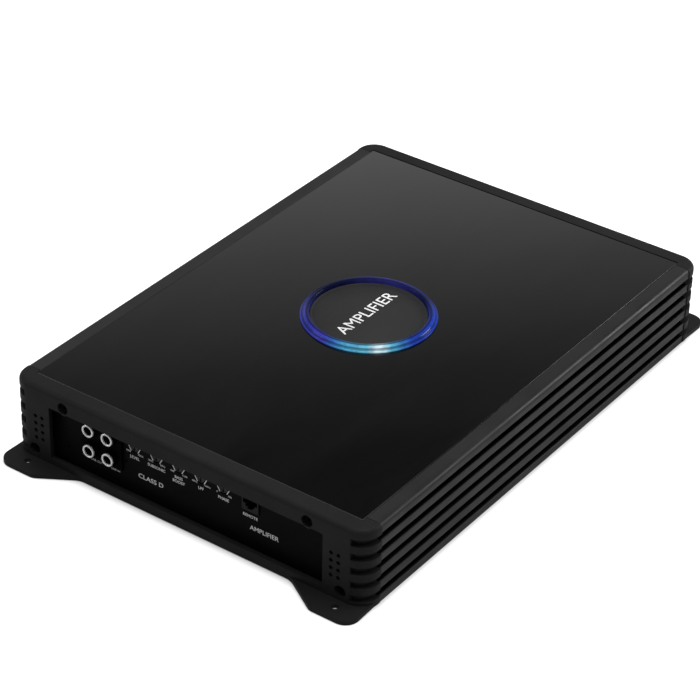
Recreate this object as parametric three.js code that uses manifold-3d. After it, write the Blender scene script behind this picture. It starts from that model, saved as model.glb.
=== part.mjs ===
// A monoblock car amplifier: finned aluminium heatsink shell, two slotted end caps with
// mounting feet, a gloss top panel with a lit ring badge, a recessed control panel at the
// front and a recessed terminal panel at the rear.
// Millimetres. Origin at the middle of the underside, +Z up, controls facing -Y.

import * as THREE from 'three';
import { mergeVertices } from 'three/addons/utils/BufferGeometryUtils.js';
import Module from 'manifold-3d';

const wasm = await Module();
wasm.setup();

// ---- driving dimensions -------------------------------------------------------------
const BODY_WIDTH = 252;
const BODY_LENGTH = 354.6;
const BODY_HEIGHT = 52.9;
const CAP_DEPTH = 14.5;
const CORNER_RADIUS = 12.6;
const TOP_EDGE_RADIUS = 3.2;
const GAP = 0.3;

const GROOVE_COUNT = 5;
const GROOVE_PITCH = 9.4;
const LOWEST_GROOVE = 6.9;
const GROOVE_HEIGHT = 4.6;
const FIN_GROOVE_DEPTH = 5;
const CAP_SLOT_DEPTH = 3;
const CAP_SLOT_START = 115.4;

const FOOT_REACH = 14.5;
const FOOT_THICKNESS = 2.6;
const FOOT_HOLE = { x: 110.3, fromFace: 5.7, radius: 2.1 };

const PANEL_HALF_WIDTH = 115.2;
const PANEL_HALF_LENGTH = 166;
const PANEL_THICKNESS = 2;

const RING = { inner: 35.7, crest: 38.2, lip: 41.3, rise: 3.5 };
const DISC_RADIUS = 35.4;
const DISC_RISE = 1;

const OPENING = { halfWidth: 97.2, bottom: 6.7, top: 42 };
const RECESS_DEPTH = 6.3;
const PLATE_THICKNESS = 1.6;

const TOP_SCREW = { x: 86.5, z: 45.6 };
const LOW_SCREW = { x: 109.2, z: 8.7 };
const COUNTERBORE = { radius: 3.7, depth: 5 };
const SCREW_CLEARANCE = 1.8;
const VENT = { columns: [102.8, 107.7], rows: 4, lowZ: 17.2, pitch: 5, radius: 1.3 };

const DIALS = {
  names: ['level', 'subsonic', 'bass', 'lowpass', 'phase'], firstX: -39, pitch: 15.9, z: 36.2,
};
const PHONO = { x: -61.9, pitch: 14, lowZ: 23.4, shellRadius: 4.15 };
const REMOTE_JACK = { x: 43.8, halfWidth: 5.8, bottom: 29.3, top: 41.2 };

const POWER_TERMINALS = {
  names: ['positive', 'remote', 'ground'],
  x: [-76, -57, -38],
  port: [4.4, 2.6, 4.4],
  screw: [3.2, 2.2, 3.2],
  low: -88,
  high: -26,
};
const SPEAKER_TERMINALS = {
  names: ['plus', 'minus'],
  x: [42, 58],
  port: [3, 3],
  screw: [2.4, 2.4],
  low: 32,
  high: 68,
};
const TERMINAL = { bottom: 11, top: 33, portZ: 19.6, back: 155, front: 189.6, screwY: 184 };

const FUSE = {
  count: 3, pitch: 9.5, thickness: 5.1, width: 19.1, z: 22.5, bodyBack: 172.3, bodyFront: 184.3,
};

const BOARD = { bottom: 10, thickness: 1.6, halfWidth: 99, halfLength: 150 };

// ---- sizes that follow from them ----------------------------------------------------
const HALF_WIDTH = BODY_WIDTH / 2;
const FACE_Y = -BODY_LENGTH / 2;
const SEAM_Y = FACE_Y + CAP_DEPTH;
const SHELL_HALF_LENGTH = -SEAM_Y - GAP / 2;
const FIN_FACE = HALF_WIDTH - 0.5;
const WALL_INSIDE = 111.5;
const DECK_TOP = BODY_HEIGHT - PANEL_THICKNESS - GAP;
const DECK_BOTTOM = 46.9;
const BORDER_EDGE = PANEL_HALF_WIDTH + GAP;
const PLATE_Y = FACE_Y + RECESS_DEPTH;
const BASE_THICKNESS = 2;
const BASE_HALF_WIDTH = 117.2;
const BOARD_TOP = BOARD.bottom + BOARD.thickness;
const grooveCentres = Array.from({ length: GROOVE_COUNT }, (_, i) => LOWEST_GROOVE + i * GROOVE_PITCH);
const dialX = DIALS.names.map((_, i) => DIALS.firstX + i * DIALS.pitch);

// ---- finishes -----------------------------------------------------------------------
function finish(color, roughness, metalness) {
  return () => new THREE.MeshStandardMaterial({ color, roughness, metalness });
}

const blackCoating = finish(0x222223, 0.55, 0.2);
const blackGloss = finish(0x0d0d0e, 0.12, 0.0);
const blackPlastic = finish(0x141415, 0.6, 0.0);
const blueLens = finish(0x1c35c8, 0.15, 0.1);
const satinGrey = finish(0x2b2d2c, 0.45, 0.3);
const zincSteel = finish(0xb9babb, 0.35, 0.9);
const blackSteel = finish(0x161617, 0.4, 0.8);
const nickel = finish(0xd8d5cc, 0.15, 1.0);
const greenBoard = finish(0x1b5134, 0.5, 0.0);
const copperWinding = finish(0xb4672a, 0.35, 0.7);
const sleeveBlue = finish(0x1b2a4a, 0.4, 0.0);
const greenFuse = finish(0x3f9a4b, 0.25, 0.0);
const paleLens = finish(0xd9e4df, 0.2, 0.0);

// ---- solid helpers ------------------------------------------------------------------
function solid(geometry) {
  const bare = geometry.clone();
  bare.deleteAttribute('normal');
  bare.deleteAttribute('uv');
  const merged = mergeVertices(bare, 1e-4);
  const vertProperties = new Float32Array(merged.attributes.position.array);
  const triVerts = new Uint32Array(merged.index.array);
  return new wasm.Manifold(new wasm.Mesh({ numProp: 3, vertProperties, triVerts }));
}

function block(x, y, z) {
  const geometry = new THREE.BoxGeometry(x[1] - x[0], y[1] - y[0], z[1] - z[0]);
  geometry.translate((x[0] + x[1]) / 2, (y[0] + y[1]) / 2, (z[0] + z[1]) / 2);
  return solid(geometry);
}

function rodZ(x, y, z, radius, segments = 12) {
  const geometry = new THREE.CylinderGeometry(radius, radius, z[1] - z[0], segments);
  geometry.rotateX(Math.PI / 2);
  geometry.translate(x, y, (z[0] + z[1]) / 2);
  return solid(geometry);
}

function rodY(x, y, z, radius, segments = 12) {
  const geometry = new THREE.CylinderGeometry(radius, radius, y[1] - y[0], segments);
  geometry.translate(x, (y[0] + y[1]) / 2, z);
  return solid(geometry);
}

function coneZ(x, y, z, lowRadius, highRadius, segments = 16) {
  const geometry = new THREE.CylinderGeometry(highRadius, lowRadius, z[1] - z[0], segments);
  geometry.rotateX(Math.PI / 2);
  geometry.translate(x, y, (z[0] + z[1]) / 2);
  return solid(geometry);
}

// A flat outline in X and Y, raised from one height to another.
function raised(shape, z, curveSegments = 6) {
  const depth = z[1] - z[0];
  const geometry = new THREE.ExtrudeGeometry(shape, { depth, bevelEnabled: false, curveSegments });
  geometry.translate(0, 0, z[0]);
  return solid(geometry);
}

// A closed outline of radius and height, turned about the Z axis.
function turned(points, segments) {
  const profile = points.map(([radius, height]) => new THREE.Vector2(radius, height));
  const geometry = new THREE.LatheGeometry(profile, segments);
  geometry.rotateX(Math.PI / 2);
  const body = solid(geometry);
  return body.volume() < 0 ? solid(flipped(geometry)) : body;
}

function flipped(geometry) {
  const copy = geometry.clone();
  const index = copy.index.array;
  for (let i = 0; i < index.length; i += 3) {
    [index[i], index[i + 1]] = [index[i + 1], index[i]];
  }
  return copy;
}

const joined = (parts) => parts.reduce((whole, part) => whole.add(part));
const cutBy = (body, cutters) => cutters.reduce((whole, cutter) => whole.subtract(cutter), body);
const bothSides = (make) => [make(1), make(-1)];
const halfTurn = (body) => body.rotate([0, 0, 180]);

const group = new THREE.Group();

function place(name, body, material) {
  const { vertProperties, triVerts, numProp } = body.getMesh();
  const geometry = new THREE.BufferGeometry();
  const positions = new Float32Array((vertProperties.length / numProp) * 3);
  for (let i = 0; i < positions.length / 3; i += 1) {
    positions.set(vertProperties.subarray(i * numProp, i * numProp + 3), i * 3);
  }
  geometry.setAttribute('position', new THREE.BufferAttribute(positions, 3));
  geometry.setIndex(new THREE.BufferAttribute(new Uint32Array(triVerts), 1));
  geometry.computeVertexNormals();
  const mesh = new THREE.Mesh(geometry, material());
  mesh.name = name;
  group.add(mesh);
}

// ---- heatsink shell -----------------------------------------------------------------
// One half of the upturned-U section, from the middle of the deck's underside, down the
// inner wall past the screw ports, and up the finned face to the middle of the deck.
function heatsinkHalfSection() {
  const port = 4.4;
  const chamfer = 2;
  const points = [
    [TOP_SCREW.x - port, DECK_BOTTOM],
    [TOP_SCREW.x - port, TOP_SCREW.z - port + chamfer],
    [TOP_SCREW.x - port + chamfer, TOP_SCREW.z - port],
    [TOP_SCREW.x + port - chamfer, TOP_SCREW.z - port],
    [TOP_SCREW.x + port, TOP_SCREW.z - port + chamfer],
    [TOP_SCREW.x + port, DECK_BOTTOM],
    [WALL_INSIDE, DECK_BOTTOM],
    [WALL_INSIDE, LOW_SCREW.z + port],
    [LOW_SCREW.x - port + chamfer, LOW_SCREW.z + port],
    [LOW_SCREW.x - port, LOW_SCREW.z + port - chamfer],
    [LOW_SCREW.x - port, LOW_SCREW.z - port + chamfer],
    [LOW_SCREW.x - port + chamfer, LOW_SCREW.z - port],
    [WALL_INSIDE, LOW_SCREW.z - port],
    [WALL_INSIDE, BASE_THICKNESS + GAP],
    [BASE_HALF_WIDTH + GAP, BASE_THICKNESS + GAP],
    [BASE_HALF_WIDTH + GAP, 0],
    [FIN_FACE, 0],
  ];
  for (const z of grooveCentres) {
    points.push([FIN_FACE, z - GROOVE_HEIGHT / 2]);
    points.push([FIN_FACE - FIN_GROOVE_DEPTH, z - GROOVE_HEIGHT / 2]);
    points.push([FIN_FACE - FIN_GROOVE_DEPTH, z + GROOVE_HEIGHT / 2]);
    points.push([FIN_FACE, z + GROOVE_HEIGHT / 2]);
  }
  const steps = 2;
  for (let i = 0; i <= steps; i += 1) {
    const angle = (i / steps) * Math.PI / 2;
    const x = FIN_FACE - TOP_EDGE_RADIUS * (1 - Math.cos(angle));
    points.push([x, BODY_HEIGHT - TOP_EDGE_RADIUS * (1 - Math.sin(angle))]);
  }
  points.push([BORDER_EDGE, BODY_HEIGHT]);
  points.push([BORDER_EDGE, DECK_TOP]);
  return points;
}

function makeHeatsinkShell() {
  const right = heatsinkHalfSection();
  const left = right.map(([x, z]) => [-x, z]).reverse();
  const shape = new THREE.Shape([...right, ...left].map(([x, z]) => new THREE.Vector2(x, z)));
  for (const screw of [TOP_SCREW, LOW_SCREW]) {
    for (const side of [1, -1]) {
      const hole = new THREE.Path();
      hole.absarc(side * screw.x, screw.z, 1.8, 0, 2 * Math.PI, true);
      shape.holes.push(hole);
    }
  }
  const depth = 2 * SHELL_HALF_LENGTH;
  const geometry = new THREE.ExtrudeGeometry(shape, { depth, bevelEnabled: false, curveSegments: 4 });
  geometry.rotateX(Math.PI / 2);
  geometry.translate(0, SHELL_HALF_LENGTH, 0);
  const lightPocket = rodZ(0, 0, [DECK_TOP - 2.3, DECK_TOP + 5], 38.6, 40);
  const wireHole = rodZ(20, 0, [DECK_BOTTOM - 5, DECK_TOP], 4);
  const tappedHoles = baseScrewPlaces().map(([x, y]) => rodZ(x, y, [0, 9], 1.7, 10));
  return cutBy(solid(geometry), [lightPocket, wireHole, ...tappedHoles]);
}

// ---- base plate ---------------------------------------------------------------------
function baseScrewPlaces() {
  const places = [];
  for (const x of [-114.2, 114.2]) {
    for (const y of [-125, 125]) {
      places.push([x, y]);
    }
  }
  return places;
}

function makeBasePlate() {
  const halfLength = SHELL_HALF_LENGTH - GAP;
  const sheet = block([-BASE_HALF_WIDTH, BASE_HALF_WIDTH], [-halfLength, halfLength], [0, BASE_THICKNESS]);
  const posts = [];
  for (const x of [-85, 85]) {
    for (const y of [-135, 135]) {
      posts.push(rodZ(x, y, [BASE_THICKNESS - 0.5, BOARD.bottom - GAP], 3, 8));
    }
  }
  const holes = baseScrewPlaces().flatMap(([x, y]) => [
    rodZ(x, y, [-1, 3], 1.8, 10),
    coneZ(x, y, [-0.01, 1.6], 3.3, 1.7, 10),
  ]);
  return cutBy(joined([sheet, ...posts]), holes);
}

function makeBaseScrew([x, y]) {
  const head = coneZ(x, y, [0.1, 1.4], 2.7, 1.4, 10);
  const shank = rodZ(x, y, [0.5, 8], 1.3, 8);
  const recess = block([x - 1.5, x + 1.5], [y - 0.35, y + 0.35], [-0.5, 0.8]);
  const crossRecess = block([x - 0.35, x + 0.35], [y - 1.5, y + 1.5], [-0.5, 0.8]);
  return cutBy(joined([head, shank]), [recess, crossRecess]);
}

// ---- end caps -----------------------------------------------------------------------
// The cap's plan runs from the front face round both vertical corners, and on past the
// seam, where it is cut off square.
function capPlan(backY) {
  const r = CORNER_RADIUS;
  const shape = new THREE.Shape();
  shape.moveTo(HALF_WIDTH, backY);
  shape.lineTo(-HALF_WIDTH, backY);
  shape.lineTo(-HALF_WIDTH, FACE_Y + r);
  shape.absarc(-HALF_WIDTH + r, FACE_Y + r, r, Math.PI, 1.5 * Math.PI, false);
  shape.lineTo(HALF_WIDTH - r, FACE_Y);
  shape.absarc(HALF_WIDTH - r, FACE_Y + r, r, 1.5 * Math.PI, 2 * Math.PI, false);
  return shape;
}

function capOuterSolid() {
  const geometry = new THREE.ExtrudeGeometry(capPlan(SEAM_Y + 12), {
    depth: BODY_HEIGHT + 8 - 2 * TOP_EDGE_RADIUS,
    bevelEnabled: true,
    bevelThickness: TOP_EDGE_RADIUS,
    bevelSize: TOP_EDGE_RADIUS,
    bevelOffset: -TOP_EDGE_RADIUS,
    bevelSegments: 2,
    curveSegments: 4,
  });
  geometry.translate(0, 0, TOP_EDGE_RADIUS - 8);
  const width = [-HALF_WIDTH - 1, HALF_WIDTH + 1];
  const keep = block(width, [FACE_Y - 1, SEAM_Y - GAP / 2], [0, BODY_HEIGHT + 1]);
  return solid(geometry).intersect(keep);
}

// The slots follow the rounded corner at one depth and end square on the front face.
function cornerSlotCutters() {
  const r = CORNER_RADIUS;
  const centreX = HALF_WIDTH - r;
  const floorRadius = r - CAP_SLOT_DEPTH;
  const startAngle = -Math.acos((CAP_SLOT_START - centreX) / floorRadius);
  return [1, -1].flatMap((side) => grooveCentres.map((z) => {
    const shape = new THREE.Shape();
    shape.moveTo(side * CAP_SLOT_START, FACE_Y - 3);
    shape.lineTo(side * (HALF_WIDTH + 3), FACE_Y - 3);
    shape.lineTo(side * (HALF_WIDTH + 3), SEAM_Y + 3);
    shape.lineTo(side * (HALF_WIDTH - CAP_SLOT_DEPTH), SEAM_Y + 3);
    const steps = 4;
    for (let i = 0; i <= steps; i += 1) {
      const angle = startAngle * (i / steps);
      const x = centreX + floorRadius * Math.cos(angle);
      shape.lineTo(side * x, FACE_Y + r + floorRadius * Math.sin(angle));
    }
    return raised(shape, [z - GROOVE_HEIGHT / 2, z + GROOVE_HEIGHT / 2]);
  }));
}

// A mounting foot: flush with the side, round at its outer corner, tapered inwards.
function makeFoot(side) {
  const outer = 8.8;
  const inner = 4;
  const end = FACE_Y - FOOT_REACH;
  const shape = new THREE.Shape();
  shape.moveTo(side * HALF_WIDTH, FACE_Y + CORNER_RADIUS);
  shape.lineTo(side * HALF_WIDTH, end + outer);
  for (let i = 1; i <= 4; i += 1) {
    const angle = (i / 4) * Math.PI / 2;
    const x = HALF_WIDTH - outer + outer * Math.cos(angle);
    shape.lineTo(side * x, end + outer - outer * Math.sin(angle));
  }
  shape.lineTo(side * (97.5 + inner), end);
  shape.quadraticCurveTo(side * 97.5, end, side * (97.5 - inner), end + inner * 0.62);
  shape.lineTo(side * 76, FACE_Y - 1);
  shape.quadraticCurveTo(side * 74, FACE_Y + 0.4, side * 70, FACE_Y + 0.6);
  shape.lineTo(side * 70, FACE_Y + 4);
  shape.lineTo(side * 100, FACE_Y + CORNER_RADIUS);
  return raised(shape, [0, FOOT_THICKNESS], 2);
}

function capScrewPlaces() {
  return [
    [-TOP_SCREW.x, TOP_SCREW.z],
    [TOP_SCREW.x, TOP_SCREW.z],
    [-LOW_SCREW.x, LOW_SCREW.z],
    [LOW_SCREW.x, LOW_SCREW.z],
  ];
}

function ventHoles() {
  const holes = [];
  for (const side of [1, -1]) {
    for (const x of VENT.columns) {
      for (let row = 0; row < VENT.rows; row += 1) {
        const z = VENT.lowZ + row * VENT.pitch;
        holes.push(rodY(side * x, [FACE_Y - 1, PLATE_Y + 1], z, VENT.radius, 6));
      }
    }
  }
  return holes;
}

function makeEndCap() {
  const wallBack = FACE_Y + 2.8;
  const back = SEAM_Y + 5;
  const cavity = block([-100.5, 100.5], [wallBack, back], [3.6, 49.6]);
  const opening = block([-OPENING.halfWidth, OPENING.halfWidth], [FACE_Y - 1, wallBack + 1],
    [OPENING.bottom, OPENING.top]);
  const ducts = bothSides((side) => (side > 0
    ? block([100, WALL_INSIDE], [PLATE_Y, back], [15, 46])
    : block([-WALL_INSIDE, -100], [PLATE_Y, back], [15, 46])));
  const ledgeSpan = [-PANEL_HALF_LENGTH - GAP, back];
  const panelLedge = block([-BORDER_EDGE, BORDER_EDGE], ledgeSpan, [DECK_TOP, BODY_HEIGHT + 1]);
  const bossSpan = [FACE_Y + 0.4, SEAM_Y - GAP / 2];
  const bosses = bothSides((side) => rodY(side * TOP_SCREW.x, bossSpan, TOP_SCREW.z, 4.8, 14));
  const screwHoles = capScrewPlaces().flatMap(([x, z]) => [
    rodY(x, [FACE_Y - 1, back], z, SCREW_CLEARANCE, 8),
    rodY(x, [FACE_Y - 1, FACE_Y + COUNTERBORE.depth], z, COUNTERBORE.radius, 12),
  ]);
  const hollow = cutBy(capOuterSolid(), [cavity, opening, ...ducts]);
  const footHoles = bothSides((side) => rodZ(side * FOOT_HOLE.x, FACE_Y - FOOT_HOLE.fromFace, [-1, 5],
    FOOT_HOLE.radius, 12));
  const whole = joined([hollow, ...bosses, ...bothSides(makeFoot)]);
  return cutBy(whole, [panelLedge, ...screwHoles, ...ventHoles(), ...cornerSlotCutters(), ...footHoles]);
}

// A socket-head screw, from the bottom of the cap's counterbore into the shell's port.
function makeCapScrew([x, z]) {
  const head = rodY(x, [FACE_Y + 1.9, FACE_Y + 4.7], z, 2.75, 12);
  const shank = rodY(x, [FACE_Y + 4.5, SEAM_Y + 10], z, 1.4, 8);
  const socket = rodY(x, [FACE_Y, FACE_Y + 3.7], z, 1.3, 6);
  return cutBy(joined([head, shank]), [socket]);
}

// ---- top panel, ring and badge ------------------------------------------------------
function makeTopPanel() {
  const shape = new THREE.Shape();
  shape.moveTo(-PANEL_HALF_WIDTH, -PANEL_HALF_LENGTH);
  shape.lineTo(PANEL_HALF_WIDTH, -PANEL_HALF_LENGTH);
  shape.lineTo(PANEL_HALF_WIDTH, PANEL_HALF_LENGTH);
  shape.lineTo(-PANEL_HALF_WIDTH, PANEL_HALF_LENGTH);
  const sheet = raised(shape, [BODY_HEIGHT - PANEL_THICKNESS, BODY_HEIGHT]);
  return sheet.subtract(rodZ(0, 0, [BODY_HEIGHT - 5, BODY_HEIGHT + 1], 38.6, 40));
}

function makeLightRing() {
  const seat = DECK_TOP + 0.5;
  const top = BODY_HEIGHT + RING.rise;
  const profile = [
    [RING.inner, seat],
    [RING.crest, seat],
    [RING.crest, BODY_HEIGHT + GAP],
    [RING.lip, BODY_HEIGHT + GAP],
    [RING.lip, BODY_HEIGHT + 0.8],
    [RING.lip - 0.9, BODY_HEIGHT + 1.1],
    [RING.crest + 1.3, BODY_HEIGHT + 2.6],
    [RING.crest, top],
    [RING.inner, top],
    [RING.inner, seat],
  ];
  return turned(profile, 48);
}

function makeBadgeDisc() {
  const seat = DECK_TOP + 0.5;
  const top = BODY_HEIGHT + DISC_RISE;
  const plate = turned([
    [0, seat], [DISC_RADIUS, seat], [DISC_RADIUS, top - 0.3], [DISC_RADIUS - 0.3, top], [0, top],
  ], 40);
  const hub = rodZ(0, 0, [DECK_TOP - 2, seat + 0.5], 10, 12);
  return joined([plate, hub]);
}

function makeRingLightBoard() {
  const low = DECK_TOP - 2;
  const parts = [turned([[13, low], [38.3, low], [38.3, low + 1.3], [13, low + 1.3], [13, low]], 24)];
  const lights = 12;
  for (let i = 0; i < lights; i += 1) {
    const angle = (i / lights) * 2 * Math.PI;
    parts.push(rodZ(36.2 * Math.cos(angle), 36.2 * Math.sin(angle), [low + 1, low + 2.1], 1.4, 4));
  }
  return cutBy(joined(parts), [rodZ(20, 0, [low - 1, low + 3], 3.6)]);
}

// ---- control panel and what shows through it ----------------------------------------
function plateBlank() {
  const sheet = block([-100, 100], [PLATE_Y, PLATE_Y + PLATE_THICKNESS], [4, 49.2]);
  const relief = 5.2;
  const through = [PLATE_Y - 5, PLATE_Y + 5];
  const bossRelief = bothSides((side) => rodY(side * TOP_SCREW.x, through, TOP_SCREW.z, relief, 16));
  const cornerRelief = bothSides((side) => (side > 0
    ? block([TOP_SCREW.x - relief, 101], through, [TOP_SCREW.z, 50])
    : block([-101, -TOP_SCREW.x + relief], through, [TOP_SCREW.z, 50])));
  return cutBy(sheet, [...bossRelief, ...cornerRelief]);
}

function makeControlPanel() {
  const through = [PLATE_Y - 2, PLATE_Y + 4];
  const dialHoles = dialX.map((x) => rodY(x, through, DIALS.z, 3.8, 14));
  const phonoHole = block([PHONO.x - 14.6, PHONO.x + 14.6], through, [16.1, 45.6]);
  const side = REMOTE_JACK.halfWidth + GAP;
  const remoteHole = block([REMOTE_JACK.x - side, REMOTE_JACK.x + side], through,
    [REMOTE_JACK.bottom - GAP, REMOTE_JACK.top + GAP]);
  return cutBy(plateBlank(), [...dialHoles, phonoHole, remoteHole]);
}

function phonoPlaces() {
  const half = PHONO.pitch / 2;
  return [
    [PHONO.x - half, PHONO.lowZ + PHONO.pitch],
    [PHONO.x + half, PHONO.lowZ + PHONO.pitch],
    [PHONO.x - half, PHONO.lowZ],
    [PHONO.x + half, PHONO.lowZ],
  ];
}

function makePhonoJackBlock() {
  const faceY = PLATE_Y - 1.5;
  const box = block([PHONO.x - 14.3, PHONO.x + 14.3], [faceY, -152], [16.4, 45.3]);
  const legs = block([PHONO.x - 12, PHONO.x + 12], [-157, -152], [BOARD_TOP + GAP, 17]);
  const collars = phonoPlaces().map(([x, z]) => rodY(x, [faceY - 1.4, faceY + 1], z, 5.3, 14));
  const grooveRadius = PHONO.shellRadius + GAP + 0.1;
  const grooves = phonoPlaces().map(([x, z]) => rodY(x, [FACE_Y - 5, -160], z, grooveRadius, 14));
  const cores = phonoPlaces().map(([x, z]) => rodY(x, [FACE_Y + 1.2, -159], z, 3.1, 10));
  const pinHoles = phonoPlaces().map(([x, z]) => rodY(x, [FACE_Y - 5, -163], z, 1.6, 8));
  return cutBy(joined([cutBy(joined([box, ...collars, legs]), grooves), ...cores]), pinHoles);
}

function makePhonoShell([x, z]) {
  const y = [FACE_Y + 0.2, -160.3];
  return rodY(x, y, z, PHONO.shellRadius, 16).subtract(rodY(x, [y[0] - 1, y[1] + 1], z, 3.5, 16));
}

function makeRemoteJack() {
  const { x, halfWidth, bottom, top } = REMOTE_JACK;
  const frontY = PLATE_Y - 1;
  const box = block([x - halfWidth, x + halfWidth], [frontY, -156], [bottom, top]);
  const wide = block([x - 4.85, x + 4.85], [frontY - 1, -159], [34, 39.9]);
  const step = block([x - 3.1, x + 3.1], [frontY - 1, -159], [32.2, 34.5]);
  const latch = block([x - 1.7, x + 1.7], [frontY - 1, -159], [30.9, 33]);
  return cutBy(box, [wide, step, latch]);
}

function makeDialBody(x) {
  const box = block([x - 4.9, x + 4.9], [PLATE_Y + 3.5, -158.5], [31, 41.4]);
  const legs = block([x - 3.5, x + 3.5], [-163, -159.5], [29.3, 31.5]);
  return joined([box, legs]).subtract(rodY(x, [PLATE_Y, -160.5], DIALS.z, 2, 10));
}

function makeDialShaft(x) {
  const button = rodY(x, [PLATE_Y - 0.4, PLATE_Y + 3.1], DIALS.z, 3, 14);
  const stem = rodY(x, [PLATE_Y + 3, -161], DIALS.z, 1.5, 8);
  const slot = block([x - 0.5, x + 0.5], [PLATE_Y - 1, PLATE_Y + 0.9], [DIALS.z - 2.4, DIALS.z + 2.4]);
  return cutBy(joined([button, stem]), [slot]);
}

// ---- terminal panel and what shows through it ---------------------------------------
function makeTerminalPanel() {
  const through = [-PLATE_Y - 4, -PLATE_Y + 2];
  const holes = [POWER_TERMINALS, SPEAKER_TERMINALS].map(({ low, high }) => (
    block([low - GAP, high + GAP], through, [TERMINAL.bottom - GAP, TERMINAL.top + GAP])));
  const half = fuseHolderHalfWidth() + GAP;
  holes.push(block([-half, half], through, [FUSE.z - 12.3, FUSE.z + 12.3]));
  holes.push(...lampPlaces().map(([x, z]) => rodY(x, through, z, 1.9, 14)));
  return cutBy(halfTurn(plateBlank()), holes);
}

function makeTerminalBlock({ x, port, screw, low, high }) {
  const { bottom, top, portZ, back, front, screwY } = TERMINAL;
  const box = block([low, high], [back, front], [bottom, top]);
  const ports = x.map((centre, i) => rodY(centre, [front - 24, front + 1], portZ, port[i], 16));
  const bores = x.map((centre, i) => rodZ(centre, screwY, [portZ, top + 1], screw[i] + GAP, 14));
  return cutBy(box, [...ports, ...bores]);
}

function makeSetScrew(x, radius, portRadius) {
  const { portZ, top, screwY } = TERMINAL;
  const low = portZ + portRadius + 0.4;
  const high = top - 0.8;
  const hexSocket = rodZ(x, screwY, [high - 2, high + 1], radius * 0.5, 6);
  return rodZ(x, screwY, [low, high], radius, 12).subtract(hexSocket);
}

const fuseHolderHalfWidth = () => ((FUSE.count - 1) * FUSE.pitch) / 2 + 6;
const fuseX = Array.from({ length: FUSE.count }, (_, i) => (i - (FUSE.count - 1) / 2) * FUSE.pitch);

function makeFuseHolder() {
  const half = fuseHolderHalfWidth();
  const box = block([-half, half], [156, 179.5], [FUSE.z - 12, FUSE.z + 12]);
  const pockets = fuseX.map((x) => block([x - FUSE.thickness / 2 - GAP, x + FUSE.thickness / 2 + GAP],
    [FUSE.bodyBack - GAP, 190], [FUSE.z - FUSE.width / 2 - GAP, FUSE.z + FUSE.width / 2 + GAP]));
  const slots = fuseX.flatMap((x) => [-5.7, 5.7].map((z) => block([x - 0.8, x + 0.8], [162, 175],
    [FUSE.z + z - 2.9, FUSE.z + z + 2.9])));
  return cutBy(box, [...pockets, ...slots]);
}

function makeFuse(x) {
  const half = FUSE.thickness / 2;
  const body = block([x - half, x + half], [FUSE.bodyBack, FUSE.bodyFront],
    [FUSE.z - FUSE.width / 2, FUSE.z + FUSE.width / 2]);
  const blades = [-5.7, 5.7].map((z) => block([x - 0.4, x + 0.4], [163, FUSE.bodyBack + 1],
    [FUSE.z + z - 2.6, FUSE.z + z + 2.6]));
  const waists = [-1, 1].map((side) => block([x - 3, x + 3], [FUSE.bodyBack + 2.5, FUSE.bodyFront - 2.2],
    side > 0 ? [FUSE.z + 8.3, FUSE.z + 12] : [FUSE.z - 12, FUSE.z - 8.3]));
  return cutBy(joined([body, ...blades]), waists);
}

const lampPlaces = () => [[78, 29], [78, 18]];

function makeLamp([x, z]) {
  const stem = rodY(x, [-PLATE_Y - 5, -PLATE_Y + 1], z, 1.5, 10);
  const tip = new THREE.SphereGeometry(1.5, 10, 5);
  tip.translate(x, -PLATE_Y + 1, z);
  const flange = rodY(x, [-PLATE_Y - 6, -PLATE_Y - 4], z, 2.2, 10);
  return joined([stem, solid(tip), flange]);
}

// ---- inside -------------------------------------------------------------------------
const transistorY = [-96, -64, -32, 0, 32, 64, 96];

// The power transistors stand at the board's two long edges, against the shell's walls.
function transistor(side, y) {
  const spanX = (a, b) => (side > 0 ? [a, b] : [-b, -a]);
  const leadTop = 17.5;
  return joined([
    block(spanX(106.5, 111.1), [y - 7.8, y + 7.8], [15.5, 36.5]),
    block(spanX(97, 107), [y - 5.8, y + 5.8], [16, leadTop]),
    block(spanX(97, 98.2), [y - 5.8, y + 5.8], [BOARD_TOP - 0.5, leadTop]),
  ]);
}

function makeMainCircuitBoard() {
  const board = block([-BOARD.halfWidth, BOARD.halfWidth], [-BOARD.halfLength, BOARD.halfLength],
    [BOARD.bottom, BOARD_TOP]);
  const transistors = [1, -1].flatMap((side) => transistorY.map((y) => transistor(side, y)));
  const driver = block([-12, 12], [-6, 6], [BOARD_TOP - 0.5, 22]);
  const relay = block([60, 80], [-112, -84], [BOARD_TOP - 0.5, 27]);
  const filterCans = [[-70, -20], [-70, 0], [70, -20], [70, 0]].map(([x, y]) => (
    rodZ(x, y, [BOARD_TOP - 0.5, 28], 6.2, 10)));
  const chipSpan = [BOARD_TOP - 0.5, BOARD_TOP + 2.2];
  const chips = [-100, -84, -68].map((y) => block([-20, -8], [y, y + 9], chipSpan));
  const postHoles = [[-85, -135], [-85, 135], [85, -135], [85, 135]].map(([x, y]) => (
    rodZ(x, y, [BOARD.bottom - 1, BOARD_TOP + 1], 1.7, 10)));
  return cutBy(joined([board, ...transistors, driver, relay, ...filterCans, ...chips]), postHoles);
}

function makeSignalBoard() {
  const board = block([-47, 55], [-168, -128], [27.4, 29]);
  const header = block([-10, 20], [-136, -130], [BOARD_TOP + GAP, 27.8]);
  const amplifierChips = [-34, -18, -2, 14].map((x) => block([x - 4.5, x + 4.5], [-152, -146], [28.8, 31]));
  return joined([board, header, ...amplifierChips]);
}

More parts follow.
